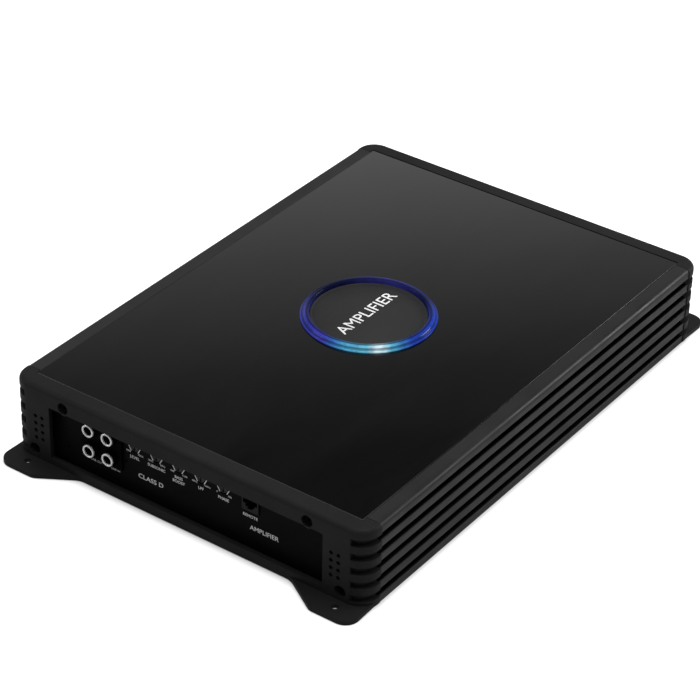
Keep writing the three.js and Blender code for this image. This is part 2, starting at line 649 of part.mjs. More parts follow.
// A toroid whose wound turns stand out as flutes round its rim.
function makeToroid(x, y, outer, inner, height, turns) {
  const low = BOARD_TOP + GAP;
  const edge = 2.5;
  const core = turned([
    [inner, low + edge], [inner + edge, low], [outer - edge, low], [outer, low + edge],
    [outer, low + height - edge], [outer - edge, low + height], [inner + edge, low + height],
    [inner, low + height - edge], [inner, low + edge],
  ], turns);
  const wireSpan = [low + edge, low + height - edge];
  const winding = Array.from({ length: turns / 2 }, (_, i) => {
    const angle = ((i + 0.5) / (turns / 2)) * 2 * Math.PI;
    return rodZ(outer * Math.cos(angle), outer * Math.sin(angle), wireSpan, 1.4, 6);
  });
  return joined([core, ...winding]).translate([x, y, 0]);
}

function makeCapacitor([x, y]) {
  const low = BOARD_TOP + GAP;
  const top = 44.5;
  const radius = 12.5;
  const can = turned([
    [0, low], [radius, low], [radius, low + 3], [radius - 0.8, low + 4], [radius, low + 5],
    [radius, top - 0.8], [radius - 0.8, top], [0, top],
  ], 16);
  return can.translate([x, y, 0]);
}

function makeTransistorClamp(side) {
  const spanX = (a, b) => (side > 0 ? [a, b] : [-b, -a]);
  const bar = block(spanX(102.2, 106.2), [-106, 106], [24, 32]);
  const fixings = [-80, 16, 80].map((y) => block(spanX(105, 111.2), [y - 3, y + 3], [25.5, 30.5]));
  return joined([bar, ...fixings]);
}

// ---- assembly -----------------------------------------------------------------------
place('heatsink_shell', makeHeatsinkShell(), blackCoating);
place('base_plate', makeBasePlate(), blackCoating);
baseScrewPlaces().forEach((spot, i) => place(`base_screw_${i + 1}`, makeBaseScrew(spot), zincSteel));

const frontCap = makeEndCap();
place('front_end_cap', frontCap, blackCoating);
place('rear_end_cap', halfTurn(frontCap), blackCoating);
capScrewPlaces().forEach((spot, i) => {
  place(`front_cap_screw_${i + 1}`, makeCapScrew(spot), blackSteel);
  place(`rear_cap_screw_${i + 1}`, halfTurn(makeCapScrew(spot)), blackSteel);
});

place('top_panel', makeTopPanel(), blackGloss);
place('light_ring', makeLightRing(), blueLens);
place('badge_disc', makeBadgeDisc(), satinGrey);
place('ring_light_board', makeRingLightBoard(), greenBoard);

place('control_panel', makeControlPanel(), blackPlastic);
place('phono_jack_block', makePhonoJackBlock(), blackPlastic);
phonoPlaces().forEach((spot, i) => place(`phono_jack_shell_${i + 1}`, makePhonoShell(spot), nickel));
place('remote_jack', makeRemoteJack(), blackPlastic);
DIALS.names.forEach((name, i) => {
  place(`${name}_dial_body`, makeDialBody(dialX[i]), blackPlastic);
  place(`${name}_dial_shaft`, makeDialShaft(dialX[i]), blackPlastic);
});

place('terminal_panel', makeTerminalPanel(), blackPlastic);
place('power_terminal_block', makeTerminalBlock(POWER_TERMINALS), blackPlastic);
place('speaker_terminal_block', makeTerminalBlock(SPEAKER_TERMINALS), blackPlastic);
POWER_TERMINALS.names.forEach((name, i) => {
  const { x, screw, port } = POWER_TERMINALS;
  place(`${name}_set_screw`, makeSetScrew(x[i], screw[i], port[i]), nickel);
});
SPEAKER_TERMINALS.names.forEach((name, i) => {
  const { x, screw, port } = SPEAKER_TERMINALS;
  place(`speaker_${name}_set_screw`, makeSetScrew(x[i], screw[i], port[i]), nickel);
});
place('fuse_holder', makeFuseHolder(), blackPlastic);
fuseX.forEach((x, i) => place(`fuse_${i + 1}`, makeFuse(x), greenFuse));
place('power_lamp', makeLamp(lampPlaces()[0]), paleLens);
place('protect_lamp', makeLamp(lampPlaces()[1]), paleLens);

place('main_circuit_board', makeMainCircuitBoard(), greenBoard);
place('signal_board', makeSignalBoard(), greenBoard);
place('supply_transformer', makeToroid(-42, 62, 27, 11, 26, 24), copperWinding);
place('output_inductor', makeToroid(38, -62, 21, 8, 22, 20), copperWinding);
[[8, 92], [36, 92], [64, 92]].forEach((spot, i) => {
  place(`supply_capacitor_${i + 1}`, makeCapacitor(spot), sleeveBlue);
});
place('transistor_clamp_right', makeTransistorClamp(1), zincSteel);
place('transistor_clamp_left', makeTransistorClamp(-1), zincSteel);

export default group;
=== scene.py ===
"""Looks for a finned car amplifier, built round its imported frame.

Shapes are made in millimetres in the frame's own axes, +Z up with the controls facing -Y,
and put into metres as each piece is finished.
"""

import math

import bmesh
import bpy
from mathutils import Matrix, Vector


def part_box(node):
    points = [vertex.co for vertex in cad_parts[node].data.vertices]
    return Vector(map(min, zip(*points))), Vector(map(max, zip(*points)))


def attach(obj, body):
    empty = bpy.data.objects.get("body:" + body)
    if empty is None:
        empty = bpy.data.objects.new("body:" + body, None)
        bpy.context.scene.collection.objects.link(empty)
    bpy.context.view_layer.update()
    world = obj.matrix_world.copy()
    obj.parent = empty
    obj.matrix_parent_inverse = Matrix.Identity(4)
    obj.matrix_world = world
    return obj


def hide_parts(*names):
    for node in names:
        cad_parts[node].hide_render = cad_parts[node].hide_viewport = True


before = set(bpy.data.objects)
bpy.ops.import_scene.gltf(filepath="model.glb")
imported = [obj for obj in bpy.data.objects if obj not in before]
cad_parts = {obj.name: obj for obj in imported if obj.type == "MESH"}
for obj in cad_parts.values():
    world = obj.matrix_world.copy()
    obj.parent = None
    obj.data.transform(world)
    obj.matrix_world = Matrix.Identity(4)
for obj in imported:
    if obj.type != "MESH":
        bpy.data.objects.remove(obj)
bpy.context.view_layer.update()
scene = bpy.context.scene

CHASSIS = "chassis"
MM = 0.001

# ---- sizes of the body, in millimetres ---------------------------------------------------
HALF_WIDTH = 126.0
FIN_FACE = 125.5
HEIGHT = 52.9
FRONT_Y = -177.3
CAP_BACK_Y = -162.95
SHELL_END_Y = 162.65
CORNER_RADIUS = 12.6
TOP_EDGE_RADIUS = 3.2
GROOVE_CENTRES = [6.9 + 9.4 * i for i in range(5)]
GROOVE_HEIGHT = 4.6
GROOVE_DEPTH = 5.0
SLOT_DEPTH = 3.0
SLOT_START_X = 115.4
DECK_TOP = 50.6
PLATE_Y = -171.0
PANEL_HALF = (115.2, 166.0)
TOP_SCREW = (86.5, 45.6)
LOW_SCREW = (109.2, 8.7)
VENT_COLUMNS = (102.8, 107.7)
VENT_LOW_Z = 17.2
VENT_PITCH = 5.0
VENT_RADIUS = 1.3
NOTCH_CENTRES = (39.8, 35.0, 30.2)
FOOT_HOLE_X = 110.3
PORT_Z = 19.6
DIAL_NAMES = ["level", "subsonic", "bass", "lowpass", "phase"]
SET_SCREWS = ["positive", "remote", "ground", "speaker_plus", "speaker_minus"]


def middle(node):
    """Middle of a node's box, in millimetres."""
    low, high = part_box(node)
    return (low + high) / 2 / MM


# ---- meshes ------------------------------------------------------------------------------
def from_bmesh(bm):
    bmesh.ops.remove_doubles(bm, verts=bm.verts, dist=1e-5)
    bmesh.ops.recalc_face_normals(bm, faces=bm.faces)
    mesh = bpy.data.meshes.new("shape")
    bm.to_mesh(mesh)
    bm.free()
    return mesh


def loft(rings):
    """A skin through rings of equal count, closed at both ends."""
    bm = bmesh.new()
    rows = [[bm.verts.new(point) for point in ring] for ring in rings]
    count = len(rows[0])
    for lower, upper in zip(rows, rows[1:]):
        for i in range(count):
            j = (i + 1) % count
            bm.faces.new((lower[i], lower[j], upper[j], upper[i]))
    bm.faces.new(rows[0])
    bm.faces.new(rows[-1])
    return from_bmesh(bm)


def prism_z(outline, low, high):
    return loft([[(x, y, z) for x, y in outline] for z in (low, high)])


def prism_y(outline, low, high):
    """An outline in X and Z, run along Y."""
    return loft([[(x, y, z) for x, z in outline] for y in (low, high)])


def block(x, y, z):
    return prism_z([(x[0], y[0]), (x[1], y[0]), (x[1], y[1]), (x[0], y[1])], *z)


def arc(centre, radius, start, end, steps):
    """Points on an arc, its angles in degrees."""
    points = []
    for i in range(steps + 1):
        angle = math.radians(start + (end - start) * i / steps)
        points.append((centre[0] + radius * math.cos(angle), centre[1] + radius * math.sin(angle)))
    return points


def rounded_rectangle(x, z, radius, steps=5):
    corners = [
        ((x[1] - radius, z[1] - radius), 0),
        ((x[0] + radius, z[1] - radius), 90),
        ((x[0] + radius, z[0] + radius), 180),
        ((x[1] - radius, z[0] + radius), 270),
    ]
    return [p for centre, start in corners for p in arc(centre, radius, start, start + 90, steps)]


def turned(profile, segments):
    """A profile of radius and height, turned about Z. It starts and ends on the axis, or closes on itself."""
    bm = bmesh.new()
    rows = []
    for radius, height in profile:
        if radius < 1e-6:
            rows.append([bm.verts.new((0, 0, height))] * segments)
            continue
        angles = [2 * math.pi * i / segments for i in range(segments)]
        rows.append([bm.verts.new((radius * math.cos(a), radius * math.sin(a), height)) for a in angles])
    closed = profile[0][0] > 1e-6
    pairs = list(zip(rows, rows[1:])) + ([(rows[-1], rows[0])] if closed else [])
    for a, b in pairs:
        for i in range(segments):
            j = (i + 1) % segments
            corners = list(dict.fromkeys((a[i], a[j], b[j], b[i])))
            if len(corners) > 2:
                bm.faces.new(corners)
    return from_bmesh(bm)


TO_FRONT = Matrix.Rotation(math.radians(90), 4, "X")
TO_REAR = Matrix.Rotation(math.radians(180), 4, "Z") @ TO_FRONT


def moved(mesh, offset=(0, 0, 0), turn=Matrix.Identity(4)):
    copy = mesh.copy()
    copy.transform(Matrix.Translation(Vector(offset)) @ turn)
    return copy


def rod_y(x, z, y, radius, segments=32):
    outline = [(x + px, z + pz) for px, pz in arc((0, 0), radius, 0, 360 - 360 / segments, segments - 1)]
    return prism_y(outline, *y)


def rod_z(x, y, z, radius, segments=32):
    outline = [(x + px, y + py) for px, py in arc((0, 0), radius, 0, 360 - 360 / segments, segments - 1)]
    return prism_z(outline, *z)


def joined(meshes):
    bm = bmesh.new()
    for mesh in meshes:
        bm.from_mesh(mesh)
    whole = bpy.data.meshes.new("shape")
    bm.to_mesh(whole)
    bm.free()
    return whole


def loose_object(mesh):
    obj = bpy.data.objects.new("loose", mesh)
    scene.collection.objects.link(obj)
    return obj


def evaluated_mesh(obj):
    depsgraph = bpy.context.evaluated_depsgraph_get()
    depsgraph.update()
    return bpy.data.meshes.new_from_object(obj.evaluated_get(depsgraph))


def shaped(mesh, steps):
    """A mesh after boolean steps, each a pair of the operation and the other mesh."""
    base = loose_object(mesh)
    others = []
    for operation, other_mesh in steps:
        other = loose_object(other_mesh)
        others.append(other)
        modifier = base.modifiers.new(operation.lower(), "BOOLEAN")
        modifier.operation = operation
        modifier.object = other
        modifier.solver = "EXACT"
        modifier.use_self = True
    result = evaluated_mesh(base)
    for obj in [base, *others]:
        bpy.data.objects.remove(obj)
    bm = bmesh.new()
    bm.from_mesh(result)
    bmesh.ops.remove_doubles(bm, verts=bm.verts, dist=1e-4)
    bmesh.ops.dissolve_degenerate(bm, edges=bm.edges, dist=1e-4)
    bmesh.ops.dissolve_limit(bm, angle_limit=math.radians(0.3), verts=bm.verts, edges=bm.edges)
    bm.to_mesh(result)
    bm.free()
    return result


def cut(mesh, *cutters):
    return shaped(mesh, [("DIFFERENCE", cutter) for cutter in cutters])


def soften(mesh, width, segments=2, angle=32):
    """Rounds the sharp edges, marking the rounded faces with the attribute edge for wear and painted
    highlights.
    """
    mesh.shade_smooth()
    mesh.set_sharp_from_angle(angle=math.radians(angle))
    obj = loose_object(mesh)
    mesh.materials.clear()
    mesh.materials.append(None)
    mesh.materials.append(None)
    bevel = obj.modifiers.new("rounding", "BEVEL")
    bevel.width = width
    bevel.segments = segments
    bevel.limit_method = "ANGLE"
    bevel.angle_limit = math.radians(angle)
    bevel.harden_normals = True
    bevel.material = 1
    result = evaluated_mesh(obj)
    bpy.data.objects.remove(obj)
    mark = result.attributes.new("edge", "FLOAT", "FACE")
    mark.data.foreach_set("value", [float(face.material_index) for face in result.polygons])
    result.polygons.foreach_set("material_index", [0] * len(result.polygons))
    result.materials.clear()
    return result


def smooth(mesh, angle=32):
    mesh.shade_smooth()
    mesh.set_sharp_from_angle(angle=math.radians(angle))
    return mesh


def finished(name, mesh, material, body=CHASSIS, stands_for=()):
    """A piece in the frame, from a mesh in millimetres."""
    mesh.name = name
    mesh.transform(Matrix.Scale(MM, 4))
    mesh.materials.clear()
    mesh.materials.append(material)
    mesh.polygons.foreach_set("material_index", [0] * len(mesh.polygons))
    obj = bpy.data.objects.new(name, mesh)
    scene.collection.objects.link(obj)
    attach(obj, body)
    if stands_for:
        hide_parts(*stands_for)
    return obj


# ---- node helpers ------------------------------------------------------------------------
class Graph:
    """A node tree that is filled node by node."""

    def __init__(self, tree):
        self.tree = tree

    def add(self, kind, inputs=None, **settings):
        node = self.tree.nodes.new(kind)
        for key, value in settings.items():
            setattr(node, key, value)
        for key, value in (inputs or {}).items():
            if isinstance(value, bpy.types.NodeSocket):
                self.tree.links.new(value, node.inputs[key])
            else:
                node.inputs[key].default_value = value
        return node

    def link(self, source, target):
        self.tree.links.new(source, target)

    def math(self, operation, a, b=0.0, clamp=False):
        return self.add("ShaderNodeMath", {0: a, 1: b}, operation=operation, use_clamp=clamp).outputs[0]

    def noise(self, coords, scale, detail=2.0, distortion=0.0):
        inputs = {"Vector": coords, "Scale": scale, "Detail": detail, "Distortion": distortion}
        return self.add("ShaderNodeTexNoise", inputs).outputs[0]

    def stretched(self, coords, scale):
        return self.add("ShaderNodeMapping", {"Vector": coords, "Scale": scale}).outputs[0]

    def between(self, factor, low, high, start=0.0, end=1.0):
        inputs = {"Value": factor, "From Min": start, "From Max": end, "To Min": low, "To Max": high}
        return self.add("ShaderNodeMapRange", inputs).outputs[0]

    def mix(self, factor, a, b):
        node = self.add("ShaderNodeMix", {0: factor, 6: a, 7: b}, data_type="RGBA")
        return node.outputs[2]

    def ramp(self, factor, stops):
        node = self.add("ShaderNodeValToRGB", {0: factor})
        elements = node.color_ramp.elements
        elements[0].position, elements[0].color = stops[0]
        elements[-1].position, elements[-1].color = stops[-1]
        for position, colour in stops[1:-1]:
            elements.new(position).color = colour
        return node.outputs[0]

    def bump(self, height, distance, strength=1.0, normal=None):
        inputs = {"Height": height, "Distance": distance, "Strength": strength}
        if normal is not None:
            inputs["Normal"] = normal
        return self.add("ShaderNodeBump", inputs).outputs[0]


def grey(value):
    return (value, value, value, 1.0)


def tint(red, green, blue):
    """A colour from its usual 0 to 255 values."""
    channels = []
    for value in (red, green, blue):
        share = value / 255
        channels.append(share / 12.92 if share <= 0.04045 else ((share + 0.055) / 1.055) ** 2.4)
    return (*channels, 1.0)


def start_material(name):
    material = bpy.data.materials.new(name)
    material.use_nodes = True
    material.node_tree.nodes.clear()
    graph = Graph(material.node_tree)
    coords = graph.add("ShaderNodeTexCoord").outputs["Object"]
    shader = graph.add("ShaderNodeBsdfPrincipled")
    output = graph.add("ShaderNodeOutputMaterial", {"Surface": shader.outputs[0]})
    output.is_active_output = True
    return material, graph, coords, shader


def coated(name, dark, light, roughness, specular=0.5, grain=900, depth=0.03, streak=None, worn=None,
           metallic=0.0, spread=0.08, painted_shade_span=None):
    """A painted, moulded or plated finish: cloudy tone, fine grain, uneven gloss and wear on its edges.

    The last argument is the pair of distances from the middle between which the finish goes from
    painted shade, dark and dull deep in the grooves, to its full tone.
    """
    material, graph, coords, shader = start_material(name)
    cloud = graph.noise(coords, 22, 3.0, 0.4)
    fine = graph.noise(coords, grain, 3.0)
    tone = graph.mix(graph.between(cloud, 0.0, 1.0, 0.3, 0.7), dark, light)
    speck = graph.between(fine, 0.0, 0.35, 0.62, 0.8)
    tone = graph.mix(speck, tone, light)
    edge = graph.add("ShaderNodeAttribute", attribute_name="edge").outputs["Fac"]
    patch = graph.between(graph.noise(coords, 140, 4.0), 0.25, 1.0, 0.4, 0.65)
    wear = graph.math("MULTIPLY", edge, patch)
    tone = graph.mix(wear, tone, worn or light)
    height = fine
    if streak:
        lines = graph.noise(graph.stretched(coords, streak), 1.0, 2.0)
        height = graph.math("ADD", fine, graph.math("MULTIPLY", lines, 1.5))
        tone = graph.mix(graph.between(lines, 0.0, 0.5, 0.45, 0.8), tone, light)
    gloss = graph.between(graph.noise(coords, 60, 4.0), roughness - spread, roughness + spread, 0.3, 0.7)
    # Painted shade deep in the grooves: between the two distances and below the top, the tone darkens and
    # gloss and specular fall.
    if painted_shade_span:
        aside = graph.math("ABSOLUTE", graph.add("ShaderNodeSeparateXYZ", {0: coords}).outputs["X"])
        low_z = graph.add("ShaderNodeSeparateXYZ", {0: coords}).outputs["Z"]
        inner = graph.between(aside, 1.0, 0.0, painted_shade_span[0] * MM, painted_shade_span[1] * MM)
        below = graph.between(low_z, 1.0, 0.0, 47.5 * MM, 49.5 * MM)
        shade = graph.math("MULTIPLY", inner, below)
        tone = graph.mix(shade, tone, grey(0.0006))
        gloss = graph.math("ADD", gloss, graph.math("MULTIPLY", shade, 0.5))
        graph.link(graph.between(shade, specular, 0.0, 0.0, 0.4), shader.inputs["Specular IOR Level"])
    else:
        shader.inputs["Specular IOR Level"].default_value = specular
    shader.inputs["Metallic"].default_value = metallic
    graph.link(tone, shader.inputs["Base Color"])
    graph.link(gloss, shader.inputs["Roughness"])
    graph.link(graph.bump(height, depth * MM, 0.6), shader.inputs["Normal"])
    return material


def gloss_black(name):
    """Back-painted acrylic sheet: deep black, almost flat, with faint hazing from wiping and a painted edge
    highlight.
    """
    material, graph, coords, shader = start_material(name)
    haze = graph.noise(graph.stretched(coords, (30, 9, 30)), 1.0, 4.0, 0.6)
    tone = graph.mix(graph.between(haze, 0.0, 1.0, 0.35, 0.75), grey(0.0012), grey(0.0028))
    edge = graph.add("ShaderNodeAttribute", attribute_name="edge").outputs["Fac"]
    along = graph.add("ShaderNodeSeparateXYZ", {0: coords}).outputs["Y"]
    # Painted highlight on the rounded edges, strong at the front and faint from the middle to the rear.
    painted_edge_highlight = graph.math("MULTIPLY", edge, graph.between(along, 0.8, 0.1, -166 * MM, -60 * MM))
    tone = graph.mix(painted_edge_highlight, tone, grey(0.06))
    wipes = graph.noise(graph.stretched(coords, (400, 60, 400)), 1.0, 3.0)
    gloss = graph.math("ADD", graph.between(haze, 0.03, 0.07), graph.between(wipes, 0.0, 0.03, 0.5, 0.8))
    wave = graph.bump(graph.noise(coords, 9, 1.0), 0.02 * MM, 0.5)
    graph.link(tone, shader.inputs["Base Color"])
    graph.link(gloss, shader.inputs["Roughness"])
    graph.link(wave, shader.inputs["Normal"])
    shader.inputs["Specular IOR Level"].default_value = 0.5
    return material


def lit_ring(name):
    """Glowing blue acrylic with a painted reflection: brightest front right, dim far side, banded across the
    slope.
    """
    material, graph, coords, shader = start_material(name)
    parts = graph.add("ShaderNodeSeparateXYZ", {0: coords}).outputs
    angle = graph.math("ARCTAN2", parts["Y"], parts["X"])
    around = graph.between(angle, 0.0, 1.0, -math.pi, math.pi)
    # Glow colour round the ring with a painted reflection, near white at the front right and dim at the far
    # side.
    glow_and_painted_reflection = graph.ramp(around, [
        (0.00, tint(6, 8, 30)),
        (0.05, tint(34, 36, 100)),
        (0.10, tint(52, 54, 132)),
        (0.17, tint(44, 50, 138)),
        (0.23, tint(62, 60, 168)),
        (0.262, tint(50, 104, 172)),
        (0.29, tint(76, 160, 200)),
        (0.345, tint(100, 184, 210)),
        (0.366, tint(216, 246, 252)),
        (0.382, tint(206, 240, 250)),
        (0.402, tint(90, 176, 206)),
        (0.435, tint(50, 110, 180)),
        (0.46, tint(30, 60, 160)),
        (0.54, tint(32, 62, 168)),
        (0.60, tint(26, 54, 150)),
        (0.66, tint(14, 22, 72)),
        (0.74, tint(40, 40, 120)),
        (0.80, tint(52, 50, 138)),
        (0.86, tint(34, 36, 100)),
        (0.92, tint(10, 12, 44)),
        (1.00, tint(6, 8, 30)),
    ])
    flat = graph.math("SQRT", graph.math("ADD", graph.math("MULTIPLY", parts["X"], parts["X"]),
                                         graph.math("MULTIPLY", parts["Y"], parts["Y"])))
    across = graph.between(flat, 0.0, 1.0, 35.7 * MM, 41.3 * MM)
    # Glow strength across the slope; its bright bands are painted highlights.
    glow_and_painted_highlights = graph.ramp(across, [
        (0.00, grey(0.3)),
        (0.06, grey(0.04)),
        (0.36, grey(0.03)),
        (0.44, grey(0.75)),
        (0.66, grey(0.85)),
        (0.76, grey(0.12)),
        (0.88, grey(0.9)),
        (1.00, grey(0.6)),
    ])
    cells = graph.add("ShaderNodeTexVoronoi", {"Vector": coords, "Scale": 520.0},
                      distance="MANHATTAN").outputs[0]
    uneven = graph.math("MULTIPLY", graph.between(graph.noise(coords, 260, 3.0), 0.72, 1.15, 0.3, 0.7),
                        graph.between(cells, 0.75, 1.1, 0.1, 0.7))
    strength = graph.math("MULTIPLY", glow_and_painted_highlights, uneven)
    graph.link(graph.mix(0.85, glow_and_painted_reflection, tint(6, 10, 40)), shader.inputs["Base Color"])
    graph.link(glow_and_painted_reflection, shader.inputs["Emission Color"])
    graph.link(strength, shader.inputs["Emission Strength"])
    shader.inputs["Specular IOR Level"].default_value = 0.2
    graph.link(graph.between(graph.noise(coords, 300, 2.0), 0.08, 0.18), shader.inputs["Roughness"])
    graph.link(graph.bump(graph.noise(coords, 700, 2.0), 0.01 * MM, 0.5), shader.inputs["Normal"])
    return material


def clear_plastic(name, colour, strength=0.0):
    """Coloured see-through plastic, cloudy from moulding."""
    material, graph, coords, shader = start_material(name)
    cloud = graph.noise(coords, 180, 3.0, 0.6)
    deep = tuple(0.55 * channel for channel in colour[:3]) + (1.0,)
    graph.link(graph.mix(cloud, deep, colour), shader.inputs["Base Color"])
    graph.link(graph.between(graph.noise(coords, 500, 3.0), 0.12, 0.26), shader.inputs["Roughness"])
    graph.link(graph.bump(graph.noise(coords, 900, 2.0), 0.02 * MM, 0.4), shader.inputs["Normal"])
    shader.inputs["Subsurface Weight"].default_value = 0.25
    shader.inputs["Subsurface Scale"].default_value = 1.5 * MM
    shader.inputs["Emission Color"].default_value = colour
    shader.inputs["Emission Strength"].default_value = strength
    return material


def plated(name, dark, light, roughness, grain=700, streak=None):
    return coated(name, dark, light, roughness, grain=grain, depth=0.012, metallic=1.0, spread=0.06,
                  streak=streak, worn=light)


def circuit_laminate(name):
    """Green laminate with pale tracks running both ways."""
    material, graph, coords, shader = start_material(name)
    inputs = {"Vector": coords, "Scale": 260.0, "Mortar Size": 0.012, "Color1": tint(20, 78, 50),
              "Color2": tint(24, 88, 56), "Mortar": tint(60, 140, 92)}
    tracks = graph.add("ShaderNodeTexBrick", inputs).outputs["Color"]
    cloud = graph.noise(coords, 90, 3.0)
    tone = graph.mix(graph.between(cloud, 0.0, 0.5), tracks, tint(12, 60, 38))
    graph.link(tone, shader.inputs["Base Color"])
    graph.link(graph.between(graph.noise(coords, 400, 2.0), 0.3, 0.5), shader.inputs["Roughness"])
    graph.link(graph.bump(graph.noise(coords, 1200, 2.0), 0.02 * MM), shader.inputs["Normal"])
    return material


def wound_wire(name):
    """Varnished copper wire laid side by side."""
    material, graph, coords, shader = start_material(name)
    waves = graph.add("ShaderNodeTexWave", {"Vector": coords, "Scale": 420.0, "Distortion": 1.2}).outputs[1]
    graph.link(graph.mix(waves, tint(110, 52, 22), tint(206, 120, 60)), shader.inputs["Base Color"])
    graph.link(graph.between(graph.noise(coords, 500, 2.0), 0.2, 0.4), shader.inputs["Roughness"])
    graph.link(graph.bump(waves, 0.2 * MM), shader.inputs["Normal"])
    shader.inputs["Metallic"].default_value = 0.8
    return material


FINISH = {
    # The coated aluminium carries painted shade deep in its grooves.
    "satin_black_aluminium": coated("satin black coated aluminium", grey(0.009), grey(0.014), 0.4, 0.3, 1100,
                                    0.02, streak=(500, 5, 500), worn=grey(0.03),
                                    painted_shade_span=(123.7, 125.3)),
    "satin_black_casting": coated("satin black casting", grey(0.008), grey(0.0115), 0.5, 0.14, 1000, 0.035,
                                  worn=grey(0.012)),
    "black_steel_sheet": coated("black sheet steel", grey(0.012), grey(0.02), 0.5, 0.4, 1200, 0.03),
    "gloss_black_panel": gloss_black("gloss black acrylic"),
    "blue_light_ring": lit_ring("blue lit ring"),
    "satin_grey_disc": coated("satin grey disc", grey(0.018), grey(0.021), 0.55, 0.2, 1400, 0.01,
                              streak=(700, 12, 700), worn=grey(0.09)),
    "matt_black_plate": coated("matt black plate", grey(0.0018), grey(0.003), 0.5, 0.05, 900, 0.03),
    "black_plastic": coated("moulded black plastic", grey(0.003), grey(0.005), 0.36, 0.2, 700, 0.03,
                            worn=grey(0.012)),
    "dial_plastic": coated("dark grey dial plastic", grey(0.016), grey(0.026), 0.38, 0.35, 800, 0.02,
                           worn=grey(0.05)),
    "matt_black_plastic": coated("matt black plastic", grey(0.0012), grey(0.002), 0.6, 0.03, 900, 0.03),
    "nickel_rim": coated("brushed nickel rim", grey(0.84), grey(0.93), 0.22, 0.8, 900, 0.01,
                         worn=grey(0.95), metallic=0.7),
    "nickel_plate": plated("bright nickel", tint(178, 176, 168), tint(226, 224, 216), 0.2),
    "zinc_steel": plated("zinc plated steel", tint(130, 132, 134), tint(176, 178, 180), 0.36),
    "black_screw_steel": coated("blackened screw steel", grey(0.001), grey(0.002), 0.6, 0.05, 900, 0.02,
                                worn=grey(0.02)),
    "fuse_plastic": clear_plastic("clear green fuse plastic", tint(54, 164, 88)),
    "lamp_lens": clear_plastic("pale lamp lens", tint(190, 216, 202)),
    "circuit_board": circuit_laminate("green circuit laminate"),
    "copper_winding": wound_wire("copper winding"),
    "capacitor_sleeve": coated("dark blue sleeve", tint(20, 30, 58), tint(30, 44, 84), 0.35, 0.5, 500, 0.02),
    "white_print": coated("white printed ink", grey(0.62), grey(0.8), 0.55, 0.3, 1500, 0.01),
    "gold_contact": plated("gold plated contact", tint(170, 128, 52), tint(226, 184, 92), 0.22),
}


# ---- geometry nodes ----------------------------------------------------------------------
class Pattern(Graph):
    """A geometry node tree with named inputs, ending in Realize Instances and Set Material."""

    def __init__(self, name, sizes):
        super().__init__(bpy.data.node_groups.new(name, "GeometryNodeTree"))
        face = self.tree.interface
        face.new_socket("Places", in_out="INPUT", socket_type="NodeSocketGeometry")
        self.keys = {}
        for label, value in sizes.items():
            kind = "NodeSocketInt" if isinstance(value, int) else "NodeSocketFloat"
            socket = face.new_socket(label, in_out="INPUT", socket_type=kind)
            socket.default_value = value
            self.keys[label] = socket.identifier
        face.new_socket("Geometry", in_out="OUTPUT", socket_type="NodeSocketGeometry")
        self.inside = self.add("NodeGroupInput").outputs
        self.sizes = sizes

    def vector(self, x=0.0, y=0.0, z=0.0):
        return self.add("ShaderNodeCombineXYZ", {0: x, 1: y, 2: z}).outputs[0]

    def drum(self, sides, radius, depth, offset):
        """A cylinder on Z, moved along Z."""
        inputs = {"Vertices": sides, "Radius": radius, "Depth": depth}
        shape = self.add("GeometryNodeMeshCylinder", inputs).outputs["Mesh"]
        return self.shift(shape, self.vector(z=offset))

    def shift(self, geometry, offset, turn=(0, 0, 0)):
        inputs = {"Geometry": geometry, "Translation": offset, "Rotation": turn}
        return self.add("GeometryNodeTransform", inputs).outputs[0]

    def without(self, base, *cutters):
        node = self.add("GeometryNodeMeshBoolean", {"Mesh 1": base}, operation="DIFFERENCE", solver="EXACT")
        for cutter in cutters:
            self.link(cutter, node.inputs["Mesh 2"])
        return node.outputs["Mesh"]

    def together(self, *parts):
        node = self.add("GeometryNodeJoinGeometry")
        for part in parts:
            self.link(part, node.inputs[0])
        return node.outputs[0]

    def at_places(self, shape, points, turn=(0, 0, 0)):
        inputs = {"Points": points, "Instance": shape, "Rotation": turn}
        return self.add("GeometryNodeInstanceOnPoints", inputs).outputs[0]

    def end(self, geometry, material):
        real = self.add("GeometryNodeRealizeInstances", {0: geometry}).outputs[0]
        painted = self.add("GeometryNodeSetMaterial", {"Geometry": real, "Material": material}).outputs[0]
        self.add("NodeGroupOutput", {0: painted})

    def grown(self, places=(), **sizes):
        """The tree's plain mesh, round these places."""
        mesh = bpy.data.meshes.new("places")
        mesh.from_pydata([tuple(p) for p in places] or [(0, 0, 0)], [], [])
        obj = loose_object(mesh)
        modifier = obj.modifiers.new("pattern", "NODES")
        modifier.node_group = self.tree
        for label, value in sizes.items():
            modifier[self.keys[label]] = value
        result = evaluated_mesh(obj)
        bpy.data.objects.remove(obj)
        return result


